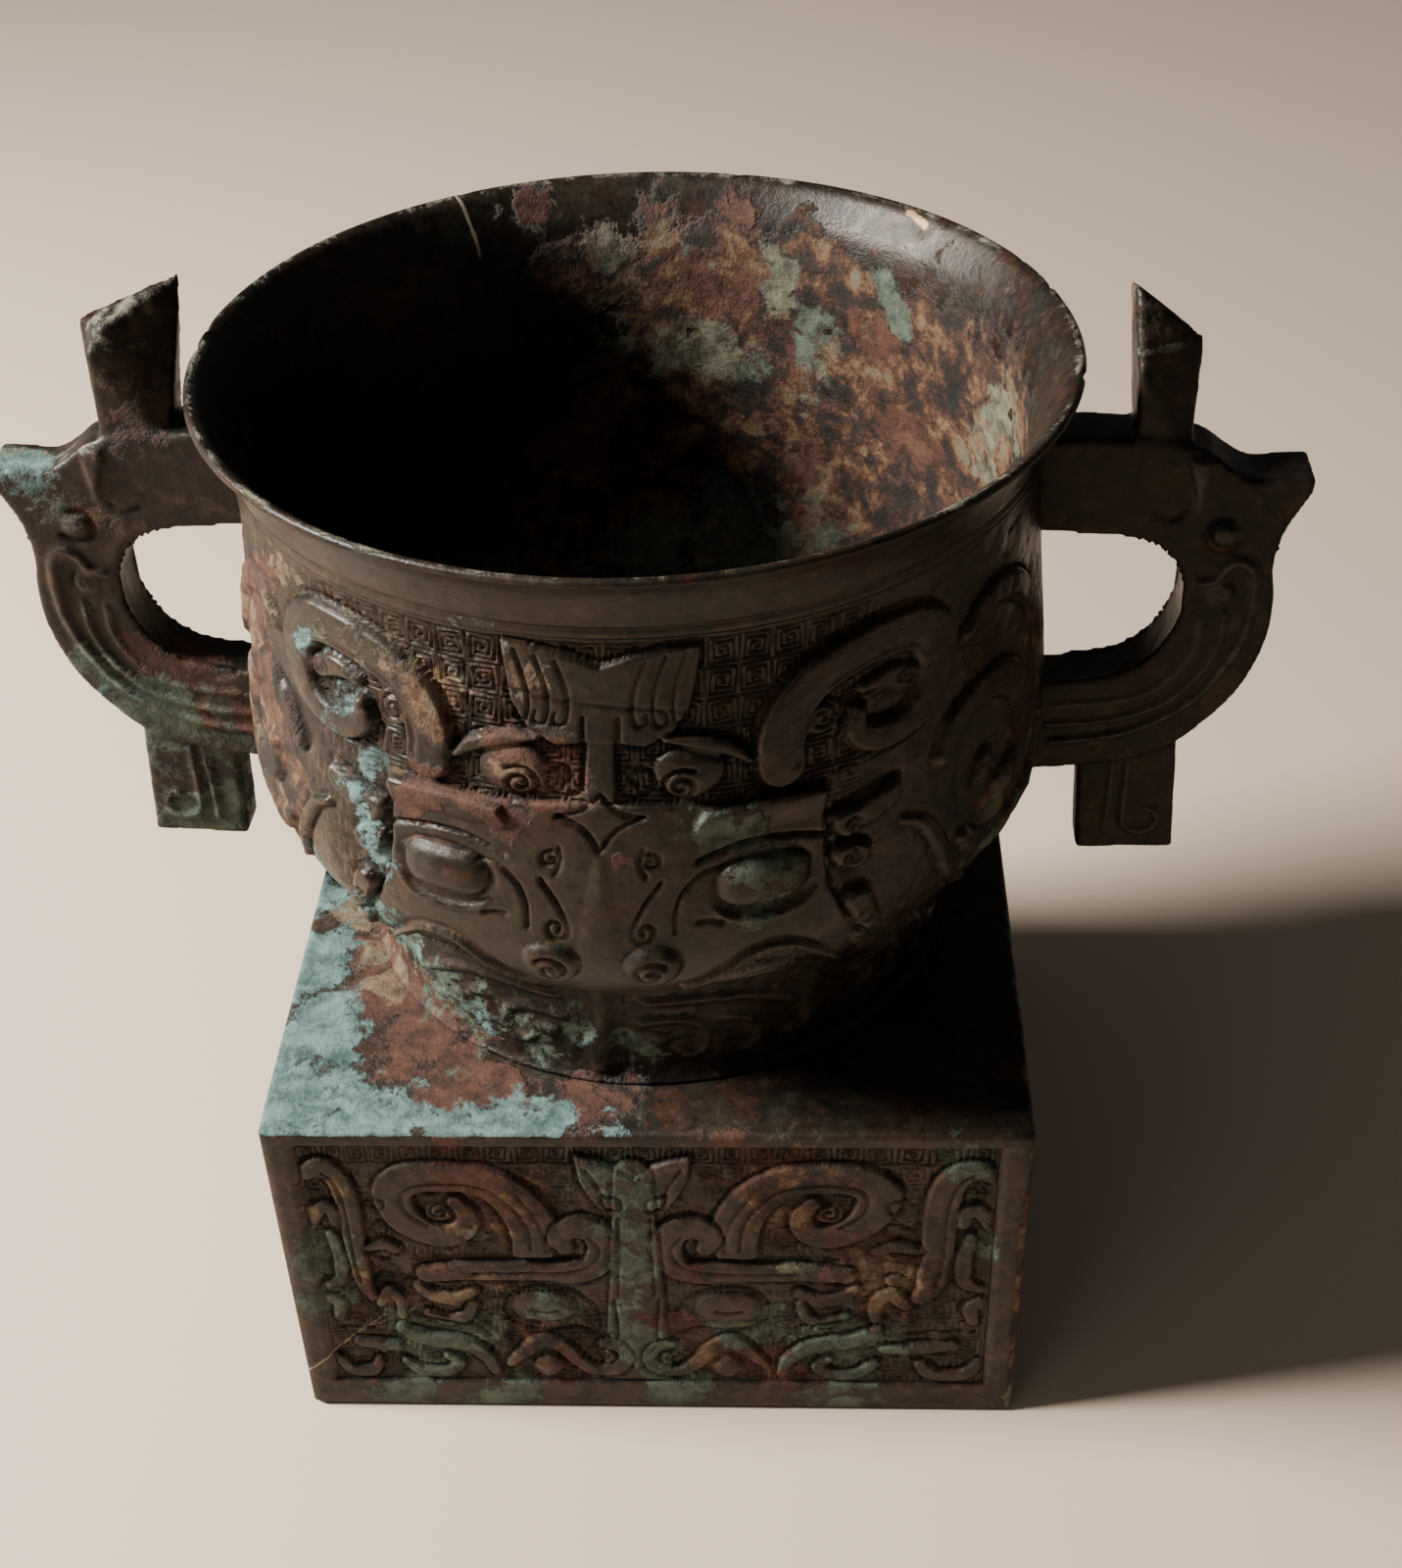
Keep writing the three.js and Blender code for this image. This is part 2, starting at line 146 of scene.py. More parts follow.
class Carving:
    """A carved surface laid flat, u across and v up, with the height of each point above its ground.

    A mirrored carving is drawn once, for its left half, where u is below zero.
    """

    def __init__(self, u, v, mirrored=True):
        self.u_lines = -np.abs(u) if mirrored else u
        self.v_lines = v
        self.h = np.zeros((len(v), len(u)))

    def window(self, points, margin):
        low, high = points[:, :2].min(0) - margin, points[:, :2].max(0) + margin
        cols = np.where((self.u_lines > low[0]) & (self.u_lines < high[0]))[0]
        rows = np.where((self.v_lines > low[1]) & (self.v_lines < high[1]))[0]
        u, v = np.meshgrid(self.u_lines[cols], self.v_lines[rows])
        return np.ix_(rows, cols), u, v

    def near_line(self, line, margin):
        """Distance to a line and the line's width there, for the points near it."""
        at, u, v = self.window(line, margin)
        best = np.full(u.shape, 1e9)
        width = np.zeros(u.shape)
        for a, b in zip(line[:-1], line[1:]):
            d = b[:2] - a[:2]
            t = np.clip(((u - a[0]) * d[0] + (v - a[1]) * d[1]) / max(d @ d, 1e-9), 0, 1)
            gap = (u - a[0] - t * d[0]) ** 2 + (v - a[1] - t * d[1]) ** 2
            closer = gap < best
            best[closer] = gap[closer]
            if len(a) > 2:
                width[closer] = (a[2] + t * (b[2] - a[2]))[closer]
        return at, np.sqrt(best), width

    def stroke(self, points, height, edge=1.1, crown=0.5, ditch=0.0):
        """A raised band along a line of (u, v, half width), with steep sides and a rounded top, and
        perhaps a cut line round it."""
        line = spline(points)
        at, gap, width = self.near_line(line, line[:, 2].max() + 3)
        inside = width - gap
        top = crown * np.sqrt(np.clip(1 - (gap / np.maximum(width, 1e-6)) ** 2, 0, 1))
        raised = smoothstep(0, edge, inside) * (height - crown) + top
        around = self.h[at] - ditch * np.exp(-(((inside + 0.5) / 0.7) ** 2))
        self.h[at] = np.where(inside > 0, np.maximum(self.h[at], raised), around)

    def groove(self, points, depth, half_width=0.7):
        """A cut line."""
        at, gap, _ = self.near_line(spline(points), 4 * half_width)
        self.h[at] -= depth * np.exp(-((gap / half_width) ** 2))

    def inside_of(self, outline, margin):
        """How far inside a closed outline each point lies, negative outside."""
        line = np.vstack([outline, outline[:1]])
        at, gap, _ = self.near_line(line, margin)
        _, u, v = self.window(line, margin)
        odd = np.zeros(u.shape, bool)
        for a, b in zip(line[:-1], line[1:]):
            if a[1] == b[1]:
                continue
            crosses = (a[1] > v) != (b[1] > v)
            odd ^= crosses & (u < a[0] + (v - a[1]) * (b[0] - a[0]) / (b[1] - a[1]))
        return at, np.where(odd, gap, -gap)

    def plate(self, outline, height, edge=1.0, rounded=True, crown=0.0, fade=None, ditch=0.0):
        """A raised plate with the given outline. With fade, two heights, it sinks away between them."""
        shape = closed_spline(outline) if rounded else np.array(outline, float)
        at, inside = self.inside_of(shape, 2.5)
        raised = height * smoothstep(0, edge, inside) + crown * smoothstep(0, 4 * edge, inside)
        if fade:
            raised = raised * smoothstep(*fade, self.window(shape, 2.5)[2])
        around = self.h[at] - ditch * np.exp(-(((inside + 0.5) / 0.7) ** 2))
        self.h[at] = np.where(inside > 0, np.maximum(self.h[at], raised), around)

    def hollow(self, outline, depth, edge=1.0, rounded=True):
        """A sunk area with the given outline."""
        shape = closed_spline(outline) if rounded else np.array(outline, float)
        at, inside = self.inside_of(shape, 0.5)
        self.h[at] -= depth * smoothstep(0, edge, inside)

    def boss(self, at, size, height, turn=0.0, base=0.0, square=2.4):
        """A rounded lump; a larger value of square makes its outline boxier."""
        reach = max(size) * 1.1
        window, u, v = self.window(np.array([at]), reach)
        c, s = math.cos(turn), math.sin(turn)
        x = ((u - at[0]) * c + (v - at[1]) * s) / size[0]
        y = ((v - at[1]) * c - (u - at[0]) * s) / size[1]
        q = (np.abs(x) ** square + np.abs(y) ** square) ** (1 / square)
        raised = base + height * np.sqrt(np.clip(1 - q**2.4, 0, 1))
        self.h[window] = np.where(q < 1, np.maximum(self.h[window], raised), self.h[window])

    def spiral(self, at, radius, turns, depth, half_width=0.6, start=0.0, hand=1):
        """A cut line that winds inwards."""
        t = np.linspace(0, 1, int(14 * turns))
        angle = start + hand * 2 * math.pi * turns * t
        r = radius * (1 - 0.85 * t)
        line = np.stack([at[0] + r * np.cos(angle), at[1] + r * np.sin(angle)], 1)
        where, gap, _ = self.near_line(line, 4 * half_width)
        self.h[where] -= depth * np.exp(-((gap / half_width) ** 2))


def closed_spline(outline, per_span=6):
    p = np.array(outline, float)
    ring = spline(np.vstack([p[-2:], p, p[:2]]), per_span)
    return ring[2 * per_span:-2 * per_span - 1]


def square_spirals(u, v, cell, turns):
    """The thunder pattern that fills the ground: square spirals side by side, 0 in the cut lines."""
    i, j = np.floor(u / cell[0]), np.floor(v / cell[1])
    x = u / cell[0] - i - 0.5
    y = v / cell[1] - j - 0.5
    x = np.where((i + j) % 2 == 0, x, -x)
    ring = 2 * np.maximum(np.abs(x), np.abs(y))
    angle = np.arctan2(y, x) / (2 * math.pi)
    phase = ring * turns + angle
    return 0.5 - 0.5 * np.cos(2 * math.pi * phase)


# Meshes

def mesh_piece(name, points, faces, slot, material, cavity=None, turn=0.0, patches=None, node=None):
    """A closed mesh as a piece of the object, on its only body."""
    points = np.asarray(points, float)
    if turn:
        c, s = math.cos(turn), math.sin(turn)
        points = points @ np.array([[c, s, 0], [-s, c, 0], [0, 0, 1]])
    mesh = bpy.data.meshes.new(name)
    mesh.from_pydata((points * MM).tolist(), [], faces)
    mesh.validate()
    piece = bpy.data.objects.new(name, mesh)
    bpy.context.scene.collection.objects.link(piece)
    outward(piece)
    mesh.shade_smooth()
    layers = dict(patches or {})
    if cavity is not None:
        layers["cavity"] = cavity
    for layer, values in layers.items():
        attribute = mesh.attributes.new(layer, "FLOAT", "POINT")
        attribute.data.foreach_set("value", np.asarray(values, np.float32).ravel())
    mesh.materials.append(material)
    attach(piece, "root")
    if node:
        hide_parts(node)
    return piece


def outward(piece):
    """Turns a closed mesh's faces so that they point out."""
    bm = bmesh.new()
    bm.from_mesh(piece.data)
    if bm.calc_volume(signed=True) < 0:
        bmesh.ops.reverse_faces(bm, faces=bm.faces)
        bm.to_mesh(piece.data)
    bm.free()


def grid_faces(rows, cols, wrap=False):
    i = np.arange(rows - 1)[:, None] * cols
    j = np.arange(cols if wrap else cols - 1)[None, :]
    k = (j + 1) % cols
    quads = np.stack([i + j, i + k, i + cols + k, i + cols + j], -1)
    return quads.reshape(-1, 4).tolist()


def slab_piece(name, front, back, block, **look):
    """A closed slab: a fine carved front, and a coarse back that follows it at depth.

    front and back are grids of points. The back is kept only at every block-th line, and its outer
    cells reach the front's own edge, so the slab closes without side walls.
    """
    rows, cols = front.shape[:2]
    keep_r = sorted(set(range(0, rows, block)) | {rows - 1})
    keep_c = sorted(set(range(0, cols, block)) | {cols - 1})
    points = [front.reshape(-1, 3)]
    inner = {}
    count = rows * cols
    extra = []
    for r in keep_r[1:-1]:
        for c in keep_c[1:-1]:
            inner[r, c] = count
            extra.append(back[r, c])
            count += 1
    points.append(np.array(extra))

    def side(r0, c0, r1, c1):
        """The vertices from one kept corner to the next, without the last."""
        on_edge = (r0 == r1 and r0 in (0, rows - 1)) or (c0 == c1 and c0 in (0, cols - 1))
        if not on_edge:
            return [inner.get((r0, c0), r0 * cols + c0)]
        steps = max(abs(r1 - r0), abs(c1 - c0))
        return [(r0 + (r1 - r0) * k // steps) * cols + c0 + (c1 - c0) * k // steps for k in range(steps)]

    faces = grid_faces(rows, cols)
    for r0, r1 in zip(keep_r[:-1], keep_r[1:]):
        for c0, c1 in zip(keep_c[:-1], keep_c[1:]):
            faces.append(side(r0, c0, r1, c0) + side(r1, c0, r1, c1) + side(r1, c1, r0, c1) + side(r0, c1, r0, c0))
    spare = len(extra)
    for key in ("cavity",):
        if look.get(key) is not None:
            look[key] = np.concatenate([look[key].ravel(), np.zeros(spare)])
    look["patches"] = {
        k: np.concatenate([p.ravel(), np.zeros(spare)]) for k, p in (look.get("patches") or {}).items()
    }
    return mesh_piece(name, np.vstack(points), faces, **look)


def ring_piece(name, rings, **look):
    """A closed turned piece from rings of points, each with as many points as the next or twice or
    half as many. The first and last rings close on a single point."""
    points, faces, start = [], [], 0
    for ring in rings:
        points.append(ring)
    starts = np.cumsum([0] + [len(r) for r in rings])
    for k in range(len(rings) - 1):
        a, b = starts[k], starts[k + 1]
        na, nb = len(rings[k]), len(rings[k + 1])
        if na == nb:
            i = np.arange(na)
            j = (i + 1) % na
            faces.extend(np.stack([a + i, a + j, b + j, b + i], -1).tolist())
        elif na == 1 or nb == 1:
            n, rim, tip = (nb, b, a) if na == 1 else (na, a, b)
            order = [(rim + i, rim + (i + 1) % n, tip) for i in range(n)]
            faces.extend([t[::-1] if na == 1 else t for t in order])
        elif na == 2 * nb:
            faces.extend((a + 2 * i, a + 2 * i + 1, a + (2 * i + 2) % na, b + (i + 1) % nb, b + i)
                         for i in range(nb))
        else:
            faces.extend((a + i, a + (i + 1) % na, b + (2 * i + 2) % nb, b + 2 * i + 1, b + 2 * i)
                         for i in range(na))
    return mesh_piece(name, np.vstack(points), faces, **look)


def cavity_of(h, reach=3):
    """How far each point of a carving lies below what surrounds it, from 0 on edges to 1 in cuts."""
    soft = h.copy()
    for _ in range(reach):
        padded = np.pad(soft, 1, mode="edge")
        soft = (padded[:-2, 1:-1] + padded[2:, 1:-1] + padded[1:-1, :-2] + padded[1:-1, 2:]
                + 2 * padded[1:-1, 1:-1]) / 6
    return np.clip(0.5 + (soft - h) * 1.1, 0, 1)


# The bowl's mask

def mask_on_bowl(carving):
    """The animal mask, left half: u is the distance from its centre line, v the height."""
    c = carving
    face = [(-50, 218.5), (-51, 200), (-52, 190), (-57, 180), (-66, 169.5), (-80, 159), (-100, 152),
            (-112, 149), (8, 149), (8, 221), (-10, 220.8), (-21, 219.8), (-40, 219.4)]
    c.plate(face, 1.3, edge=1.0, rounded=False)
    # Horn, its hook, and the drop inside it
    c.stroke([(-40, 226.5, 6.0), (-39.8, 232, 6.2), (-42, 240, 5.9), (-47.5, 246.5, 5.7), (-56, 250, 5.6),
              (-66, 251.4, 5.7), (-75, 250, 6), (-80.4, 245.5, 6.4), (-81.6, 238.5, 6.1), (-79, 231, 5.2),
              (-72, 226.6, 4), (-64, 226.4, 4), (-58.4, 229.8, 3.4), (-58.6, 234.6, 2.2)], 2.7, edge=1.2,
             crown=1.0, ditch=0.6)
    c.groove([(-43.2, 227), (-43, 232), (-45.4, 239), (-50.5, 244.8), (-58, 247.4), (-66, 248.6),
              (-73, 247.2), (-77, 243)], 0.5, 0.8)
    c.stroke([(-73, 238, 3.2), (-67.4, 240.4, 3), (-60, 240, 1.4)], 1.5, crown=0.6, ditch=0.4)
    c.boss((-49.8, 236), (4.4, 4.2), 1.3)
    c.spiral((-49.8, 236), 3.8, 1.8, 1.0)
    c.spiral((-72.4, 238.6), 2.6, 1.4, 0.8)
    # Crest like two raised wings, with the lines of their feathers
    c.plate([(-22, 262), (-13, 260.4), (-6, 258.8), (0, 256.4), (2, 256), (2, 236), (-4, 236.2), (-9.6, 235.2),
             (-16, 238.4), (-20, 246), (-21.4, 255)], 1.2, edge=0.7, rounded=False, ditch=0.7)
    for k in range(3):
        x = -16.8 + 4.4 * k
        top = 259.6 - 1.0 * k
        c.groove([(x - 1.8, top), (x + 0.5, 251), (x + 1.0, 244.4), (x - 0.2, 240.8), (x - 2.2, 241.6),
                  (x - 1.9, 244)], 0.8, 0.45)
    # Brow volute and the scroll beside the ridge
    c.boss((-19.5, 228.4), (8.0, 6.8), 2.4, square=2.1)
    c.stroke([(-33, 229.5, 1.2), (-28, 233.5, 2.2), (-21, 236, 2), (-14, 237.2, 0.9)], 2.0, crown=0.8, ditch=0.5)
    c.spiral((-17.6, 225), 4.8, 1.7, 1.4, 0.58, start=2.2, hand=-1)
    c.stroke([(0, 250, 3.4), (0, 236, 3.4), (0, 225, 3.8), (0, 217, 2.6)], 0.9, edge=0.9, crown=0.2)
    c.groove([(-3.9, 243), (-3.9, 226), (-5.6, 222.4), (-9.4, 222.2), (-12, 224.6), (-11.4, 228.2), (-8.4, 229.4),
              (-6.4, 227.2), (-8, 225)], 1.1, 0.52)
    # Brow: a plate with a steep upper edge that sinks into the forehead
    c.plate([(-51, 219.2), (-36, 220), (-22, 219), (-19.5, 214), (-22, 207), (-51, 207)], 3.4, edge=1.3,
            rounded=False, fade=(207, 217.5))
    c.groove([(-50.5, 205), (-47.2, 206.4), (-40.4, 208), (-33, 208.4), (-26.7, 206.9), (-21.3, 204.6)], 1.3, 0.58)
    # Eye in its socket, with the lines round it
    c.hollow([(-50, 199), (-46, 204.6), (-36, 206), (-26.5, 204), (-22.6, 197), (-24.6, 190), (-30, 187),
              (-40, 186), (-49, 189.5)], 1.0, edge=3.0)
    c.boss((-36, 197.2), (10.6, 6.6), 4.2, base=0.3, square=3.0)
    c.groove([(-40.5, 192), (-37.5, 191.2), (-34, 191.6)], 1.1, 0.52)
    c.stroke([(-48.5, 191, 1.1), (-45, 187.2, 1.6), (-37, 185.6, 1.7), (-29, 187.2, 1.5), (-25, 190.5, 0.9)],
             2.0, crown=0.7)
    c.groove([(-27.6, 202.3), (-23, 201.6), (-18.6, 197), (-16.7, 191.4), (-16.5, 184.6)], 1.1, 0.52)
    c.groove([(-27, 186.3), (-24, 187.4), (-21.5, 187.4)], 0.9, 0.6)
    c.groove([(-13.4, 199.4), (-9.6, 192.6), (-7.2, 185.4), (-8.3, 181.8), (-10.9, 182.3), (-11.9, 185),
              (-10.6, 187), (-9.1, 186), (-9.5, 184.1)], 1.2, 0.52)
    # Nose: a broad soft ridge that starts at the forehead
    c.stroke([(0, 219, 3), (0, 208, 6), (0, 190, 9.5), (0, 170, 12), (0, 150, 14)], 1.8, edge=9, crown=0.6)
    # Marks on the forehead
    c.groove([(-9.4, 217), (-5.6, 215.4), (-2.6, 212.8), (0, 208)], 1.1, 0.6)
    c.groove([(-9.4, 217), (-5.4, 218.2), (-2.4, 220.2), (0, 223)], 0.9, 0.55)
    c.spiral((-11, 205), 2.5, 1.1, 1.1, 0.55, start=1.4)
    c.groove([(-9.3, 208.6), (-8.8, 204.6), (-10, 201)], 1.0, 0.55)
    # Mouth, the tongue in it, and the upper lip
    c.hollow([(-66, 149), (-53.5, 164.6), (-45.5, 172), (-40, 173.8), (-35.6, 173.2), (-31.6, 169.8),
              (-24.5, 164), (-19, 160.6), (-10, 158.4), (-4, 154), (-4, 149)], 2.1, edge=1.3, rounded=False)
    c.plate([(-58, 149), (-52, 155), (-45.5, 165), (-38.6, 167.2), (-32.4, 162.8), (-27, 158.4), (-26, 149)],
            0.7, edge=2.0, rounded=False)
    c.groove([(-47.5, 160), (-42, 163.4), (-36.5, 162), (-33, 157.6)], 0.9, 0.7)
    c.stroke([(-70, 148.6, 0.9), (-54.5, 166.2, 1.1), (-46, 174, 1.3), (-40.4, 176, 1.4), (-35, 175.3, 1.4),
              (-30.6, 171.6, 1.3), (-24.6, 166.6, 1.1), (-19, 163.4, 0.8)], 2.5, edge=0.8, crown=0.5, ditch=0.4)
    # Nostril, curled like a snail
    c.boss((-11.6, 174), (7.0, 6.6), 3.7, base=0.8, square=2.2)
    c.spiral((-11.2, 173), 4.3, 1.35, 1.5, 0.7, start=2.4, hand=-1)
    c.boss((-10.8, 172.6), (1.8, 1.6), 3.7, base=1.0)
    # Ear leaves and the cheek
    c.plate([(-70.4, 213.4), (-60, 211.4), (-51.8, 209.8), (-52.6, 204.5), (-56, 202.2), (-60, 203.6),
             (-68, 206.2), (-70.8, 209.5)], 2.6, edge=1.2, ditch=0.5)
    c.spiral((-57.6, 205.2), 2.6, 1.3, 1.1, 0.6, start=0.6)
    c.plate([(-62.6, 197.7), (-58.6, 200.6), (-52.8, 200.4), (-52, 197), (-54, 194.4), (-58.5, 192.8),
             (-62.4, 194.8)], 2.3, edge=1.1, ditch=0.5)
    c.spiral((-56.6, 196.6), 2.4, 1.2, 1.0, 0.6, start=2.0)
    c.groove([(-51.2, 212), (-51.7, 201), (-52.6, 191)], 1.3, 0.8)
    c.plate([(-63, 185), (-58.5, 187.4), (-55.6, 184.5), (-56.8, 180.4), (-60.4, 174), (-64, 170.3), (-67.8, 169.8),
             (-68.2, 172.3), (-65, 177.7)], 3.0, edge=1.3, ditch=0.5)
    c.spiral((-61.4, 177.4), 2.5, 1.2, 1.2, 0.6, start=1.0)
    c.stroke([(-61, 172, 2.2), (-66, 165, 3.0), (-75, 158.6, 3.1), (-90, 153.8, 2.8), (-112, 151.4, 2.2)],
             3.0, edge=1.4, crown=1.0)
    # The beast's body beside the handle
    c.stroke([(-84, 212, 3.2), (-90, 219.5, 4.2), (-102, 222, 4.4), (-114, 216, 4.6), (-119, 205, 4.6),
              (-115, 194.5, 4.4), (-105, 191, 4), (-98, 195.5, 3.2), (-99, 203, 2.4)], 2.1, edge=1.4, crown=0.8,
             ditch=0.5)
    c.stroke([(-92, 184, 2.4), (-98, 178, 3.6), (-110, 175.5, 4), (-124, 180, 3.6), (-134, 192, 2.6)], 2.0,
             edge=1.4, crown=0.8, ditch=0.5)
    c.stroke([(-93, 240, 2.4), (-103, 245, 3.4), (-116, 241, 3.8), (-127, 230, 3.4), (-133, 216, 2.4)], 2.0,
             edge=1.4, crown=0.8, ditch=0.5)
    c.stroke([(-72, 200, 1.2), (-78, 196, 1.9), (-84, 186, 2.2), (-90, 172, 1.8), (-100, 164, 1.2)], 1.6,
             edge=1.2, crown=0.6, ditch=0.4)


def panel_mask(carving):
    """The mask on each side of the plinth, left half: u from the centre, v the height."""
    c = carving

    def band(points, height, edge=0.7, crown=0.3, ditch=0.5):
        """A flat band, a little wider than its line of half widths says."""
        c.stroke([(u, v, 1.24 * half) for u, v, half in points], 0.72 * height, min(edge, 0.6), crown / 3,
                 1.3 * ditch)

    # Horn with the ring inside it
    band([(-27.4, 65, 4.6), (-26.6, 71, 5.3), (-28, 79, 5.4), (-32.5, 87, 5.1), (-39.5, 92.6, 4.7),
              (-49, 94.2, 4.4), (-59, 93.4, 4.6), (-64, 88.6, 4.6), (-63, 81.4, 4.3), (-58.8, 75.4, 3.9),
              (-51.8, 71.8, 3.5), (-46, 73.8, 3.1), (-44.2, 79.6, 2.5), (-47, 84.6, 2.0)], 1.7, edge=0.9,
             crown=0.6, ditch=0.7)
    c.groove([(-28, 67), (-28.6, 75), (-32, 83), (-38.6, 89.6), (-48, 92), (-58, 91), (-61.4, 87), (-60, 80.6),
              (-55, 76)], 0.7, 0.6)
    c.groove([(-24, 66), (-24.4, 72), (-26.4, 80), (-31, 88.6)], 0.5, 0.5)
    c.boss((-51.6, 81), (3.8, 3.6), 1.1)
    c.spiral((-51.6, 81), 3.4, 1.4, 1.0, 0.6)
    # Brow bar with its round end, and the deep line over the bar
    band([(-57, 56, 2.4), (-45, 57, 3.0), (-30, 56.8, 3.2), (-16.5, 57.4, 3.6), (-10, 61, 3.7),
              (-8.2, 67.6, 3.7), (-10.8, 73.6, 3.6), (-16.6, 75.2, 3.4), (-20, 71, 2.6), (-18.8, 66.8, 2)],
             1.6, edge=0.9, crown=0.5, ditch=0.7)
    c.groove([(-54, 61.6), (-40, 62), (-28, 61.8), (-15, 62.4)], 2.2, 1.1)
    c.groove([(-44, 57), (-30, 57), (-17, 57.8), (-11.4, 61.6), (-9.6, 67), (-12.4, 71.6)], 0.6, 0.55)
    c.groove([(-56, 52.8), (-46, 53.6), (-38, 53.4), (-30, 53.8), (-22, 53.2)], 0.8, 0.6)
    # Crest and nose ridge
    c.plate([(-15.4, 102.8), (-9.5, 101.2), (-4.6, 98.8), (1, 94.5), (1, 86), (-3, 80.4), (-8, 80.8), (-11.8, 87),
             (-14.4, 93.5)], 1.6, edge=0.8, rounded=False, ditch=0.6)
    c.groove([(-8.8, 88), (-7.4, 83), (-3.6, 82.6), (-3.8, 86.6), (-8.8, 88)], 1.0, 0.6)
    c.groove([(-12.4, 98), (-9.4, 92), (-8, 88)], 0.8, 0.6)
    band([(0, 96, 4), (0, 60, 5.5), (0, 30, 7), (0, 12, 8)], 1.2, edge=4, crown=0.5)
    c.groove([(-4.2, 79), (-4.6, 60), (-5, 48)], 0.6, 0.55)
    # Eye, its outline and the nose scroll
    c.boss((-25.4, 42.8), (8.8, 5.8), 1.7, square=2.6)
    c.groove([(-29, 42), (-25.4, 41.2), (-21.8, 42)], 0.8, 0.6)
    c.groove([(-35.5, 37), (-36.4, 42), (-34, 47.5), (-28, 50.6), (-20, 50), (-14, 46), (-10.6, 39.4),
              (-10, 31)], 1.0, 0.65)
    c.groove([(-36, 37.5), (-31, 33.5), (-24, 32.4), (-17.4, 33.6), (-13.6, 32), (-10.4, 30.2)], 1.0, 0.65)
    c.groove([(-6.2, 46), (-5.4, 34), (-5.6, 29.4), (-7.8, 28.6), (-8, 31)], 0.8, 0.55)
    band([(-36, 18, 1.2), (-32, 22.6, 1.9), (-26.6, 28, 2.2), (-21, 25.6, 2.1), (-16.6, 19, 1.9),
              (-11.6, 15.2, 1.8), (-6, 16.4, 1.8), (-3.4, 21, 1.7), (-5.4, 25.8, 1.6), (-9.6, 26.6, 1.3)], 1.1,
             edge=0.8, crown=0.4, ditch=0.5)
    c.spiral((-9, 21.6), 3.2, 1.2, 0.9, 0.6)
    c.boss((-25.2, 17.4), (4.6, 5), 1.3, square=1.5)
    # The upright creature at the panel's end
    band([(-89.6, 95.8, 2.1), (-86, 98, 2.6), (-81.6, 95.6, 3.0), (-79, 88, 3.2), (-78.2, 76, 3.2),
              (-78.2, 62, 3.0), (-77, 52, 2.5), (-74.6, 46.6, 1.6)], 1.6, edge=0.9, crown=0.6, ditch=0.6)
    c.groove([(-85, 96), (-82, 93), (-80, 86), (-79.4, 76), (-79.2, 62), (-78, 53)], 0.7, 0.55)
    c.spiral((-87.6, 90), 3.0, 1.4, 1.0, 0.6)
    for v in (84, 74, 64, 54):
        c.groove([(-72.6, v), (-69.6, v + 2.4), (-66.6, v + 1.2), (-67.4, v - 2.4), (-70.4, v - 2)], 0.9, 0.55)
    band([(-90.2, 76, 1.5), (-88, 81.2, 2), (-84.6, 82.2, 1.8), (-83.4, 77, 1.4)], 1.3, crown=0.5, ditch=0.5)
    band([(-85.4, 72, 1.4), (-84, 62, 1.8), (-84.8, 54, 1.8), (-88.4, 51.6, 1.4)], 1.3, crown=0.5, ditch=0.5)
    band([(-89.4, 46, 1.5), (-86.6, 43.4, 1.8), (-87.4, 38, 1.5)], 1.2, crown=0.5, ditch=0.4)
    # Broken hooks between the creature and the horn
    band([(-73.4, 66.4, 1.3), (-68.6, 68, 1.8), (-64.6, 66, 1.4)], 1.2, crown=0.5, ditch=0.5)
    band([(-72, 44, 1.5), (-68.6, 48.6, 1.8), (-65.2, 45.4, 1.8), (-65.2, 38.6, 1.3)], 1.3, crown=0.5, ditch=0.5)
    band([(-59.6, 51, 1.4), (-56, 47.2, 1.8), (-50, 45.6, 2.1), (-45, 48.6, 1.6)], 1.4, crown=0.5, ditch=0.5)
    band([(-45, 44, 1.2), (-47, 38.6, 1.6), (-52.4, 36.6, 1.8), (-57.6, 39.4, 1.3)], 1.2, crown=0.5, ditch=0.5)
    # Body and claws along the bottom
    band([(-83, 27, 1.4), (-76, 26, 1.8), (-68, 25.4, 1.5)], 1.2, crown=0.5, ditch=0.5)
    for v in (32.6, 38, 43.4):
        c.groove([(-62, v - 4), (-54, v - 6.6), (-46, v - 8.6), (-40.6, v - 14)], 0.8, 0.55)
    c.groove([(-88, 33), (-80, 32.6), (-72, 31.4)], 0.8, 0.55)
    band([(-66, 33, 1.7), (-59, 28.6, 2.3), (-49, 26.6, 2.3), (-42.6, 21, 1.9), (-40.4, 15, 1.4)], 1.4,
             crown=0.6, ditch=0.5)
    band([(-90, 20, 1.5), (-86, 14.8, 1.8), (-79, 14.6, 1.9), (-76, 19, 1.5)], 1.3, crown=0.5, ditch=0.5)
    band([(-66, 19, 1.4), (-61, 14.6, 1.7), (-54, 14.4, 1.8), (-50.4, 18, 1.6), (-53.6, 21, 1.1)], 1.3,
             crown=0.5, ditch=0.5)


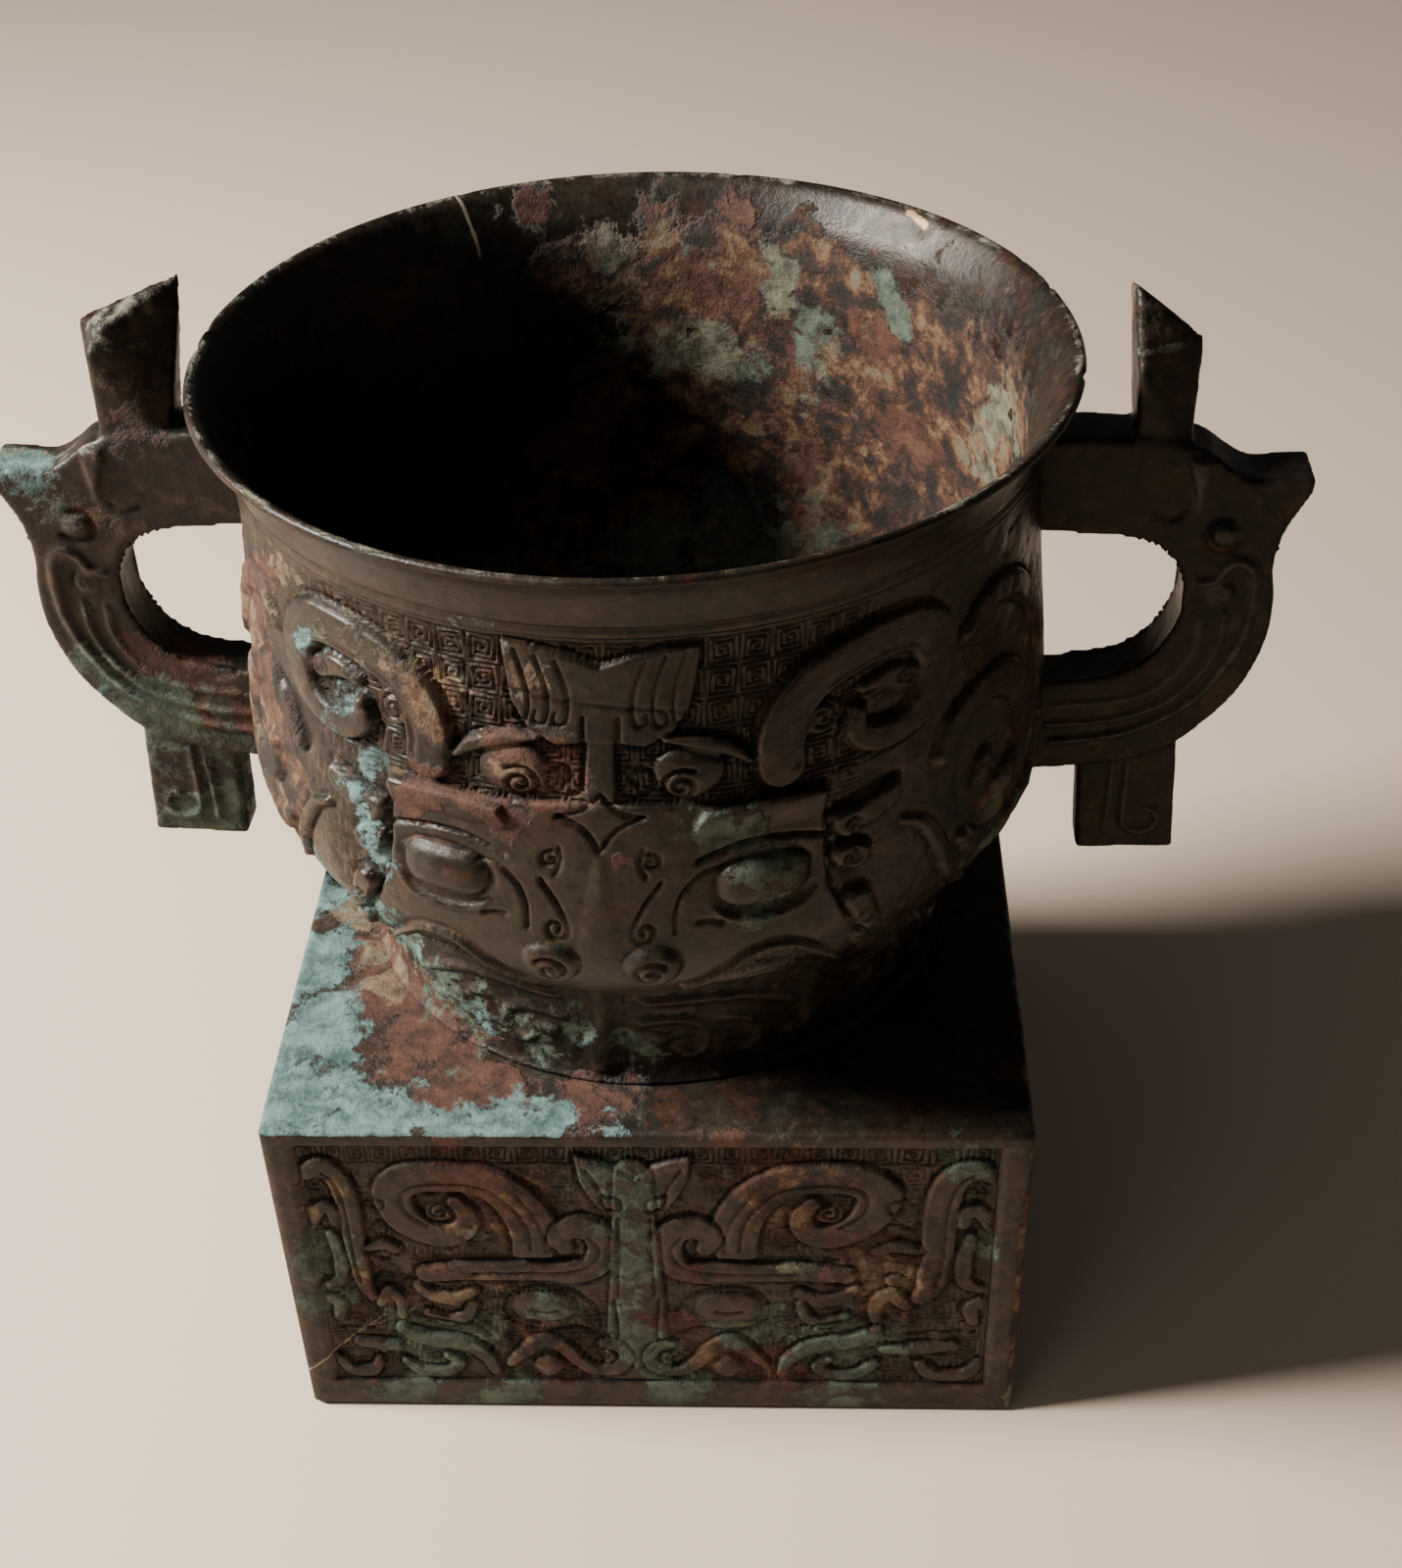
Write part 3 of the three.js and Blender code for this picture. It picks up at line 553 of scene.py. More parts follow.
def foot_band(carving):
    """The low band of dragons on the ring foot, to the left of the ridge at its middle."""
    c = carving
    c.stroke([(0, 145, 4.4), (0, 130, 4.4), (0, 115, 4.6)], 1.6, edge=3.6, crown=0.6)
    c.groove([(-7.8, 145), (-7.8, 115)], 0.5, 0.6)
    for start in (0, -76):
        c.stroke([(start - 14, 138.5, 1.5), (start - 30, 139, 1.8), (start - 48, 137.4, 1.9), (start - 60, 133, 1.9),
                  (start - 70, 127.4, 1.8), (start - 68, 121.4, 1.6), (start - 61.6, 121.2, 1.3)], 1.1, crown=0.4)
        c.stroke([(start - 13, 131.4, 1.5), (start - 24, 132.4, 1.8), (start - 33, 129, 1.8), (start - 34, 122.4, 1.6),
                  (start - 28, 119.6, 1.4), (start - 23.6, 122.6, 1.2)], 1.1, crown=0.4)
        c.stroke([(start - 40, 131.6, 1.3), (start - 48, 129.4, 1.6), (start - 52, 123, 1.5), (start - 47, 118.4, 1.3)],
                 1.0, crown=0.4)
        c.boss((start - 18.5, 125.6), (3.2, 2.6), 1.4)


# The bowl

def line_points(line):
    """A smooth profile with its outward direction at each point."""
    dense = spline(line, 24)
    step = np.gradient(dense, axis=0)
    normal = np.stack([step[:, 1], -step[:, 0]], 1)
    normal /= np.linalg.norm(normal, axis=1)[:, None]
    return dense, normal


def walk(line, step):
    """Points about one step apart along a profile, with outward directions."""
    dense, normal = line_points(line)
    length = np.concatenate([[0], np.cumsum(np.linalg.norm(np.diff(dense, axis=0), axis=1))])
    at = spaced((0, length[-1]), (lambda s: step(np.interp(s, length, dense[:, 1]))) if callable(step) else step)
    rz = np.stack([np.interp(at, length, dense[:, k]) for k in (0, 1)], 1)
    nn = np.stack([np.interp(at, length, normal[:, k]) for k in (0, 1)], 1)
    return rz, nn


SLAB_REACH = 147.0
SLAB_LOW, SLAB_HIGH = 150.9, 264.6
SLAB_DIP = 1.5


def slab_edge(u, z):
    """How far inside the edge of the mask slab a point lies."""
    return np.minimum(SLAB_REACH - np.abs(u), np.minimum(z - SLAB_LOW, SLAB_HIGH - z))


def crust(points, seed, amount=1.0):
    """Small lumps and pits of corrosion, in millimetres."""
    lumps = fbm(points, 9.0, seed, 4) - 0.5
    pits = noise(points, 2.6, seed + 5)
    return amount * (0.9 * lumps - 0.35 * smoothstep(0.72, 0.95, pits))


def wheel(u, r, z):
    """Points at a distance u round the bowl from its front, at a radius and height."""
    angle = u / GIRTH_RADIUS
    return np.stack([r * np.sin(angle), -r * np.cos(angle), z + 0 * r], -1)


def turned(points, turn):
    c, s = math.cos(turn), math.sin(turn)
    return points @ np.array([[c, s, 0], [-s, c, 0], [0, 0, 1]])


def round_grid(u, rz):
    """Grid of points on a turned profile, before any relief."""
    return wheel(u[None, :], rz[:, :1] + 0 * u[None, :], rz[:, 1:])


def raise_grid(u, rz, nn, h):
    """The same grid with the relief h standing out of it."""
    return wheel(u[None, :] + 0 * h, rz[:, :1] + nn[:, :1] * h, rz[:, 1:] + nn[:, 1:] * h)


def wall_wear(u):
    """How thick the crust on the wall is: thin in front, thick beside the handles."""
    return 0.1 + 0.75 * smoothstep(46, 92, np.abs(u + 8))


def mask_slab(name, behind, u_step, z_step, material):
    """One side of the bowl's wall, with its mask."""
    rz, nn = walk(WALL_LINE + LIP_LINE[:2], z_step)
    keep = (rz[:, 1] >= SLAB_LOW - 0.4) & (rz[:, 1] <= SLAB_HIGH + 0.4)
    rz, nn = rz[keep], nn[keep]
    u = spaced((-SLAB_REACH, 0), u_step)
    u = np.concatenate([u, -u[-2::-1]])
    z = rz[:, 1]
    carving = Carving(u, z)
    mask_on_bowl(carving)
    uu, zz = np.meshgrid(u, z)
    # The mask sits a little to the left and leans, but the slab's own edge stays upright
    shift = (MASK_SHIFT + MASK_LEAN * (zz - MASK_BASE)) * (1 - smoothstep(85, 140, np.abs(uu)))
    around = uu + shift + behind * math.pi * GIRTH_RADIUS
    flat = wheel(around, rz[:, :1] + 0 * uu, zz)
    wear = 0.3 + 0 * uu if behind else wall_wear(uu + shift)
    pattern = square_spirals(uu, zz - 230.4, (7.6, 7.9), 3)
    ground = 1 - smoothstep(0.0, 0.5, carving.h)
    clear = 1 - smoothstep(0.25, 0.75, wear)
    depth = np.where(zz > 220, 1.0, 0.6) * smoothstep(263.4, 262.4, zz)
    h = carving.h - depth * (1 - pattern) * ground * clear
    cavity = cavity_of(h)
    h = h * (1 - 0.25 * wear) + (crust(flat, 3, 1.0) + 0.9 * (fbm(flat, 4.0, 19, 3) - 0.5)) * wear
    h += 0.3 * (fbm(flat, 30, 8, 2) - 0.5)
    # A scratch across the crest
    h -= 0.0 if behind else 0.35 * np.exp(-(((zz - 246.6 + 0.12 * uu) / 0.5) ** 2)) * smoothstep(22, 16, np.abs(uu + 2))
    edge = slab_edge(uu, zz)
    h = np.where(edge < SLAB_DIP, 0.0, h * smoothstep(SLAB_DIP, SLAB_DIP + 2.0, edge))
    h -= SLAB_DIP * (1 - smoothstep(0, SLAB_DIP, edge))
    front = wheel(around, rz[:, :1] + nn[:, :1] * h, zz + nn[:, 1:] * h)
    back = wheel(around, rz[:, :1] - 2.2 + 0 * uu, zz)
    return slab_piece(name, front, back, 24, slot="bowl_bronze", material=material, turn=BOWL_TURN,
                      cavity=cavity, patches=patches_at(turned(front, BOWL_TURN)))


def foot_relief(u, rz):
    """Relief of the ring foot, with its band of dragons in front and behind."""
    half_round = math.pi * GIRTH_RADIUS
    z = rz[:, 1]
    across = (u - FOOT_BAND_SHIFT + half_round / 2) % half_round - half_round / 2
    carving = Carving(across, z)
    foot_band(carving)
    pattern = square_spirals(u[None, :] + 0 * z[:, None], z[:, None] - 113, (6.4, 6.6), 2)
    ground = 1 - smoothstep(0, 0.4, carving.h)
    h = carving.h - 0.35 * (1 - pattern) * ground
    return h * (smoothstep(113, 115, z) * (1 - smoothstep(143, 146, z)))[:, None]


def wall_relief(u, rz):
    """Relief of the bare wall between the mask slabs. It dips where they cover it."""
    z = rz[:, 1:]
    half_round = math.pi * GIRTH_RADIUS
    from_slab = np.minimum(np.abs(u), half_round - np.abs(u))[None, :] + 0 * z
    covered = smoothstep(SLAB_DIP, 2 * SLAB_DIP, slab_edge(from_slab, z))
    line = 0.6 * np.exp(-(((z - 265.8) / 0.6) ** 2))
    beside = smoothstep(SLAB_REACH - 4, SLAB_REACH + 4, from_slab) * smoothstep(262, 256, z)
    return crust(round_grid(u, rz), 3, 0.6) * beside - SLAB_DIP * covered - line


def inside_relief(u, rz):
    """Crust on the inside: none on the lip, thick on the side that the light reaches."""
    flat = round_grid(u, rz)
    side = smoothstep(-60, 40, flat[..., 0])
    depth = smoothstep(272, 255, rz[:, 1:]) * (0.3 + 0.8 * side)
    lumps = crust(flat, 22, 1.3) + 1.4 * (fbm(flat * [1, 1, 0.55], 24, 61, 4) - 0.5)
    lip = 0.12 * (fbm(flat, 12, 21, 3) - 0.5)
    return lumps * depth + lip - 0.7 * scar(flat, LIP_SCARS)


def scar(points, scars):
    """Depth of small pits and cuts, each an (x, y, z, reach along x, y, z)."""
    depth = np.zeros(points.shape[:-1])
    for x, y, z, rx, ry, rz in scars:
        q = ((points - [x, y, z]) / [rx, ry, rz]) ** 2
        depth += np.exp(-q.sum(-1))
    return depth


def rim_damage(ring_points):
    """Pulls the rim in where it is nicked, chipped and cracked."""
    p = ring_points
    bite = np.zeros(p.shape[:-1])
    for x, y, z, reach, deep in RIM_NICKS:
        gap = np.linalg.norm(p[..., :2] - [x, y], axis=-1)
        bite = bite + deep * np.exp(-((gap / reach) ** 2)) * smoothstep(z - 4, z, p[..., 2])
    wobble = 0.5 * (fbm(p, 42, 71, 2) - 0.5) * smoothstep(262, 280, p[..., 2])
    radius = np.linalg.norm(p[..., :2], axis=-1)
    shrink = 1 - (0.7 * bite + np.maximum(wobble, -0.3) * 0.5 + 0.12) / np.maximum(radius, 1) * (p[..., 2] > 262)
    out = p.copy()
    out[..., :2] *= shrink[..., None]
    out[..., 2] -= bite * 0.6 * smoothstep(276, 282, p[..., 2])
    return out


# Marks on the rim, in the bowl's own frame: cut x, y, z, then reach
RIM_NICKS = [
    (-56.6, 94.4, 283, 1.3, 2.6), (-109, -2, 282, 2.4, 1.2), (-108, 8, 282, 1.6, 1.0), (109, -14, 281, 1.5, 1.6),
    (103.6, 34, 283, 1.8, 1.3), (98, 49, 283, 1.4, 0.7), (62, -89, 282, 2.2, 0.7), (-80, -74, 282, 2.0, 0.6),
    (20, 107, 283, 1.6, 0.5),
]
LIP_SCARS = [
    (72, 76, 278, 3.4, 1.2, 2.6), (95, 42, 277.4, 1.5, 1.5, 1.2), (104, 20, 277, 1.6, 1.8, 1.0),
    (69, 79, 275.6, 1.2, 1.2, 1.4),
]
FOOT_BAND_SHIFT = -11.0


def bowl_body(material, columns=368):
    """Ring foot, neck, lip, inside and underside, and the wall under the mask slabs."""
    u = np.linspace(-math.pi, math.pi, columns, endpoint=False) * GIRTH_RADIUS
    rings, cavities = [], []

    def add(line, step, relief, count=columns, keep=None):
        rz, nn = walk(line, step)
        if keep is not None:
            kept = keep(rz)
            rz, nn = rz[kept], nn[kept]
        at = u[::columns // count]
        h = relief(at, rz) + np.zeros((len(rz), len(at)))
        cavity = cavity_of(h, 2) if len(rz) > 3 else 0.5 + 0 * h
        rings.extend(rim_damage(raise_grid(at, rz, nn, h)))
        cavities.extend(cavity)

    def tip(z):
        rings.append(np.array([[0, 0, z]]))
        cavities.append(np.array([0.5]))

    def rough(seed, amount):
        return lambda at, rz: crust(round_grid(at, rz), seed, amount)

    tip(147.5)
    add([(4, 147.5), (10, 147.5)], 3, rough(40, 0.3), columns // 16)
    add([(13, 147.5), (30, 147.6)], 3, rough(40, 0.3), columns // 8)
    add([(33, 147.7), (72, 148.4)], 3, rough(40, 0.5), columns // 4)
    add([(73.5, 147.9), (76, 145.6), (76.8, 142), (76.8, 128), (76.8, 114)], 3, rough(41, 0.5), columns // 4)
    add([(76.9, 111.5), (77.0, 111.3)], 1, lambda at, rz: 0, columns // 2)
    add(FOOT_LINE, 0.95, lambda at, rz: foot_relief(at, rz) + crust(round_grid(at, rz), 12, 0.45))
    add(WALL_LINE + LIP_LINE, lambda z: 0.9 if z > 262 else 2.4, wall_relief)
    step = lambda z: 0.95 if z > 262 else 1.6
    add(INNER_LINE, step, inside_relief, keep=lambda rz: rz[:, 0] > 44)
    add(INNER_LINE, step, inside_relief, columns // 2, keep=lambda rz: rz[:, 0] <= 44)
    add([(27, 151.0), (15, 150.9)], 2, rough(23, 0.8), columns // 4)
    add([(13, 150.9), (5, 150.8)], 2, rough(23, 0.8), columns // 8)
    tip(150.8)
    world = turned(np.vstack(rings), BOWL_TURN)
    return ring_piece("bowl_bronze", rings, slot="bowl_bronze", material=material, turn=BOWL_TURN,
                      cavity=np.concatenate(cavities), patches=patches_at(world), node="bowl")


# The plinth

def side_place(side):
    """Turns points of the front side of the plinth to another side."""
    angle = side * math.pi / 2
    return lambda points: turned(points, angle)


def panel_slab(name, side, step, material):
    """The sunk panel on one side of the plinth, with its mask."""
    u = spaced((-PANEL_HALF - 0.6, 0), step)
    u = np.concatenate([u, -u[-2::-1]])
    v = spaced((PANEL_LOW - 0.6, PANEL_HIGH + 0.6), step)
    carving = Carving(u, v)
    panel_mask(carving)
    uu, vv = np.meshgrid(u, v)
    # The front mask sits to the left and leans
    across = uu + (0.024 * vv - 5.8) * (1 - smoothstep(62, 88, np.abs(uu))) * (side == 0)
    flat = np.stack([across, 0 * uu - PLINTH_HALF, vv], -1)
    place = side_place(side)
    world = place(flat)
    wear = 0.25 + 0.5 * smoothstep(0.45, 0.75, fbm(world, 34, 31, 3))
    pattern = square_spirals(uu + 1.0, vv - 98.9, (7.6, 7.6), 2.5)
    ground = 1 - smoothstep(0.0, 0.5, carving.h)
    depth = np.where(vv > 98.9, 1.0, 0.6 * (1 - 0.7 * smoothstep(0.35, 0.7, wear)))
    h = carving.h - depth * (1 - pattern) * ground
    cavity = cavity_of(h)
    h = h * (1 - 0.3 * wear) + crust(world, 33, 0.75) * wear
    h += (0.35 + ground) * (1.5 * (fbm(world, 3.6, 37, 3) - 0.5) - 0.1) * (vv < 98.9)
    edge = np.minimum(PANEL_HALF + 0.6 - np.abs(uu), np.minimum(vv - PANEL_LOW + 0.6, PANEL_HIGH + 0.6 - vv))
    h = h * smoothstep(0.6, 2.2, edge) - 1.2 * (1 - smoothstep(0, 0.6, edge))
    front = place(np.stack([across, -(PLINTH_HALF - PANEL_DEPTH + h), vv], -1))
    back = place(np.stack([across, 0 * uu - (PLINTH_HALF - PANEL_DEPTH - 2.1), vv], -1))
    return slab_piece(name, front, back, 24, slot="plinth_bronze", material=material,
                      cavity=cavity, patches=patches_at(front))


def plinth_body(material, step=1.7):
    """The square box itself: rings of points round it, from inside the hollow over the outside to
    the opening in its top."""
    half = PLINTH_HALF
    per_side = int(2 * half / step)
    per_side -= per_side % 4
    t = (np.arange(per_side) + 0.5) / per_side * 2 - 1
    corner = 2.6

    def square(reach, z, radius, bump=None):
        """A square ring with rounded corners."""
        x = np.sign(t) * (1 - (1 - np.abs(t)) ** 1.0)
        side = np.stack([x * reach, np.full(per_side, -reach), np.full(per_side, z)], 1)
        over = np.clip(np.abs(side[:, 0]) - (reach - radius), 0, radius)
        side[:, 1] += radius - np.sqrt(np.maximum(radius**2 - over**2, 0))
        if bump is not None:
            side[:, 1] -= bump
        sides = [turned(side, k * math.pi / 2) for k in range(4)]
        return np.vstack(sides)

    rings = []
    inner = half - WALL - PANEL_DEPTH
    # Inside, from the opening in the top plate down to the lower edge
    count = 4 * per_side
    turn = (np.arange(count) + 0.5) / count * 2 * math.pi - 3 * math.pi / 4

    def circle(radius, z):
        return np.stack([radius * np.cos(turn), radius * np.sin(turn), np.full(count, z)], 1)

    low_plate = PLINTH_HEIGHT - WALL
    rings.append(circle(66, low_plate))
    for k in (0.35, 0.7):
        rings.append(circle(66, low_plate) * (1 - k) + square(inner, low_plate, corner) * k)
    rings.append(square(inner, low_plate, corner))
    for z in np.linspace(low_plate - 6, 6, 12):
        rings.append(square(inner, z, corner))
    rings.append(square(inner, 0.15, corner))
    rings.append(square(half - 0.9, 0.0, corner))
    # Outside, with pockets for the panels
    u = t * half
    heights = np.concatenate([
        [0.5, 1.4], spaced((3, PANEL_LOW - 1.2), 1.9), [PANEL_LOW - 0.3, PANEL_LOW + 0.3],
        spaced((PANEL_LOW + 2, PANEL_HIGH - 2), 3.6), [PANEL_HIGH - 0.3, PANEL_HIGH + 0.3],
        spaced((PANEL_HIGH + 1, PLINTH_HEIGHT - 1.6), 0.8),
    ])
    for z in heights:
        in_panel = (np.abs(u) < PANEL_HALF) & (z > PANEL_LOW) & (z < PANEL_HIGH)
        round_low = 0.9 * (1 - min(z / 1.4, 1)) ** 2
        bump = np.where(in_panel, -2.4, 0.0) - round_low
        rings.append(square(half, z, corner, bump))
    for k, (drop, pull) in enumerate([(0.75, 0.25), (0.25, 0.8), (0.0, 1.7)]):
        rings.append(square(half - pull, PLINTH_HEIGHT - drop, corner))
    # Top
    top = square(half - 1.7, PLINTH_HEIGHT, corner)
    for k in spaced((0, 1), 1 / 26)[1:]:
        ring = top * (1 - k) + circle(66, PLINTH_HEIGHT) * k
        rings.append(ring)
    rings.append(circle(66, PLINTH_HEIGHT - 0.6))
    rings.append(circle(66, low_plate + 0.6))
    points = np.array(rings)
    outside = np.zeros(len(rings), bool)
    outside[17:] = True
    world = points.reshape(-1, 3)
    lumps = crust(world, 35, 0.7).reshape(points.shape[:2])
    for k in range(len(rings)):
        if not outside[k]:
            continue
        is_top = points[k, :, 2] > PLINTH_HEIGHT - 0.1
        points[k, is_top, 2] += np.minimum(lumps[k, is_top], 0.5)
    faces = grid_faces(len(rings), count, wrap=True)
    last = (len(rings) - 1) * count
    faces += [[last + i, last + (i + 1) % count, (i + 1) % count, i] for i in range(count)]
    flat = points.reshape(-1, 3)
    cavity = np.full(len(flat), 0.5)
    return mesh_piece("plinth_bronze", flat, faces, slot="plinth_bronze", material=material, cavity=cavity,
                      patches=patches_at(flat), node="plinth")


# Handles

HANDLE_OUTLINE = [
    (99.3, 260.4), (112, 261), (130, 260), (140, 257.6), (146, 253.2), (152, 249.9), (160, 250.1), (167.2, 250.6),
    (166.8, 246.4), (163.6, 240), (160.4, 232), (159.7, 225), (161.2, 216), (161.1, 205), (158, 193), (152, 182),
    (141, 170), (132, 165.5), (116, 162), (94.6, 159.8), (100.6, 170), (102.6, 188), (112, 188.8), (124, 191.3),
    (133, 198), (138.4, 209), (138.4, 221), (133, 230), (124, 234), (112, 235.2), (99.4, 235.4),
]
PENDANT_OUTLINE = [(141.2, 176), (143.8, 133.2), (117.7, 132.2), (115.7, 172)]
HORNS = {
    -1: ([(112.5, 7, 298), (138.5, 4, 287.5), (134.5, -7.3, 282), (130, -5, 289.5)],
         [(119, -6), (135.5, -6), (135.5, 6.5), (119, 6.5)]),
    1: ([(119.5, 7, 296.3), (121, 2, 296.5), (137.5, 2.5, 283.5), (122, -7, 279.5)],
        [(123.5, -6), (136, -6), (136, 6), (123.5, 6)]),
}


def rounded_outline(points, sharp):
    """The handle's outline as a smooth closed line, broken at its sharp corners."""
    spans, start = [], 0
    corners = sorted(sharp) + [len(points)]
    ring = points + [points[0]]
    for end in corners:
        if end == 0:
            continue
        spans.append(spline(ring[start:end + 1], 5)[:-1])
        start = end
    return np.vstack(spans)


def handle_relief():
    """Heights on a handle's flat face, on a grid of outward distance and height."""
    u = np.arange(94, 172, 0.4)
    v = np.arange(128, 266, 0.4)
    c = Carving(u, v, mirrored=False)
    c.plate([(134.6, 257.6), (142, 256), (141.4, 248), (139.6, 240)], 1.3, edge=1.2, rounded=False)
    c.boss((146.8, 234.6), (3.6, 3.2), 1.2)
    c.groove([(151, 231.6), (147.6, 229.6), (143.8, 231.2), (142.4, 235), (144.4, 238.4), (148, 238.6)], 0.9, 0.7)
    c.groove([(129, 240), (133, 238.6), (136.4, 240.8)], 0.6, 0.7)
    # Scroll on the neck
    c.stroke([(141.6, 220.4, 1.2), (146, 221.6, 1.5), (148, 225, 1.6), (151.6, 227, 1.7), (155.4, 223.4, 1.7),
              (156, 214, 1.7), (154.6, 204, 1.6), (150.4, 194, 1.5), (142, 182.6, 1.4), (127, 173.6, 1.3),
              (108, 170, 1.2)], 1.2, edge=1.0, crown=0.5)
    c.boss((147.6, 217.4), (3.4, 3.2), 1.2)
    c.spiral((147.6, 217.6), 3.4, 1.3, 0.8, 0.6, start=0.8, hand=-1)
    c.stroke([(149.4, 211.6, 1.0), (148.8, 202, 1.3), (144.4, 192, 1.3), (136, 183, 1.3), (123, 177.6, 1.2),
              (106, 175.6, 1.0)], 1.0, crown=0.4)
    c.stroke([(143.4, 210, 0.9), (143, 201, 1.1), (138, 191.6, 1.1), (128, 184.6, 1.1), (108, 181.6, 0.9)], 0.8, crown=0.4)
    # Pendant: a curl and two upright ribs
    c.stroke([(129.4, 163, 1.1), (129.2, 147, 1.2), (129.8, 140.8, 1.2), (134.4, 138.6, 1.2), (138.4, 141, 1.2),
              (138.2, 145.8, 1.1), (134.4, 146.6, 0.9)], 1.0, edge=0.8, crown=0.4)
    c.stroke([(125.4, 163, 1.0), (124.8, 138.6, 1.0)], 0.9, edge=0.8, crown=0.3)
    return u, v, c.h


def sample(grid_u, grid_v, heights, u, v):
    """Values of a height grid at loose points."""
    x = np.clip((u - grid_u[0]) / (grid_u[1] - grid_u[0]), 0, len(grid_u) - 1.001)
    y = np.clip((v - grid_v[0]) / (grid_v[1] - grid_v[0]), 0, len(grid_v) - 1.001)
    i, j = x.astype(int), y.astype(int)
    fx, fy = x - i, y - j
    return ((heights[j, i] * (1 - fx) + heights[j, i + 1] * fx) * (1 - fy)
            + (heights[j + 1, i] * (1 - fx) + heights[j + 1, i + 1] * fx) * fy)


def prism(bm, outline, half_thickness):
    """Adds a flat plate with an outline in the XZ plane."""
    sides = []
    for y in (-half_thickness, half_thickness):
        sides.append([bm.verts.new((x, y, z)) for x, z in outline])
    front = bm.faces.new(sides[0])
    back = bm.faces.new(sides[1][::-1])
    n = len(outline)
    for i in range(n):
        j = (i + 1) % n
        bm.faces.new((sides[0][j], sides[0][i], sides[1][i], sides[1][j]))
    bmesh.ops.triangulate(bm, faces=[front, back])


def handle(name, side, node, material, voxel=0.85):
    """A loop handle as a horned beast: solid parts fused and rounded, then carved."""
    bm = bmesh.new()
    prism(bm, rounded_outline(HANDLE_OUTLINE, {7, 8, 19, 21, 30}), 7.4)
    prism(bm, PENDANT_OUTLINE, 5.9)
    top, foot = HORNS[side]
    corners = [bm.verts.new(p) for p in top] + [bm.verts.new((x, y, 254.0)) for x, y in foot]
    hull = bmesh.ops.convex_hull(bm, input=corners)
    spare = {v for v in hull["geom_interior"] + hull["geom_unused"] if isinstance(v, bmesh.types.BMVert)}
    bmesh.ops.delete(bm, geom=list(spare), context="VERTS")
    bmesh.ops.recalc_face_normals(bm, faces=bm.faces)
    mesh = bpy.data.meshes.new("rough")
    bm.to_mesh(mesh)
    bm.free()
    rough = bpy.data.objects.new("rough", mesh)
    bpy.context.scene.collection.objects.link(rough)
    remesh = rough.modifiers.new("fuse", "REMESH")
    remesh.mode = "VOXEL"
    remesh.voxel_size = voxel
    soften = rough.modifiers.new("soften", "SMOOTH")
    soften.factor = 0.5
    soften.iterations = 4
    fused = rough.evaluated_get(bpy.context.evaluated_depsgraph_get()).to_mesh()
    count = len(fused.vertices)
    points, normals = np.zeros(3 * count), np.zeros(3 * count)
    fused.vertices.foreach_get("co", points)
    fused.vertices.foreach_get("normal", normals)
    points, normals = points.reshape(-1, 3), normals.reshape(-1, 3)
    faces = [list(p.vertices) for p in fused.polygons]
    bpy.data.objects.remove(rough)
    bpy.data.meshes.remove(mesh)
    u, v, heights = handle_relief()
    h = sample(u, v, heights, points[:, 0], points[:, 2])
    flatness = smoothstep(0.55, 0.9, np.abs(normals[:, 1]))
    points[:, 1] += np.sign(normals[:, 1]) * h * flatness
    points += normals * (0.3 + crust(points + 400 * side, 51, 0.45))[:, None]
    cavity = np.clip(0.5 - 0.45 * (h - 0.4) * flatness, 0, 1)
    if side < 0:
        points[:, 0] *= -1
    world = turned(points, BOWL_TURN)
    return mesh_piece(name, points, faces, slot="handle_bronze", material=material, turn=BOWL_TURN,
                      cavity=cavity, patches=patches_at(world), node=node)


# Where the corrosion lies

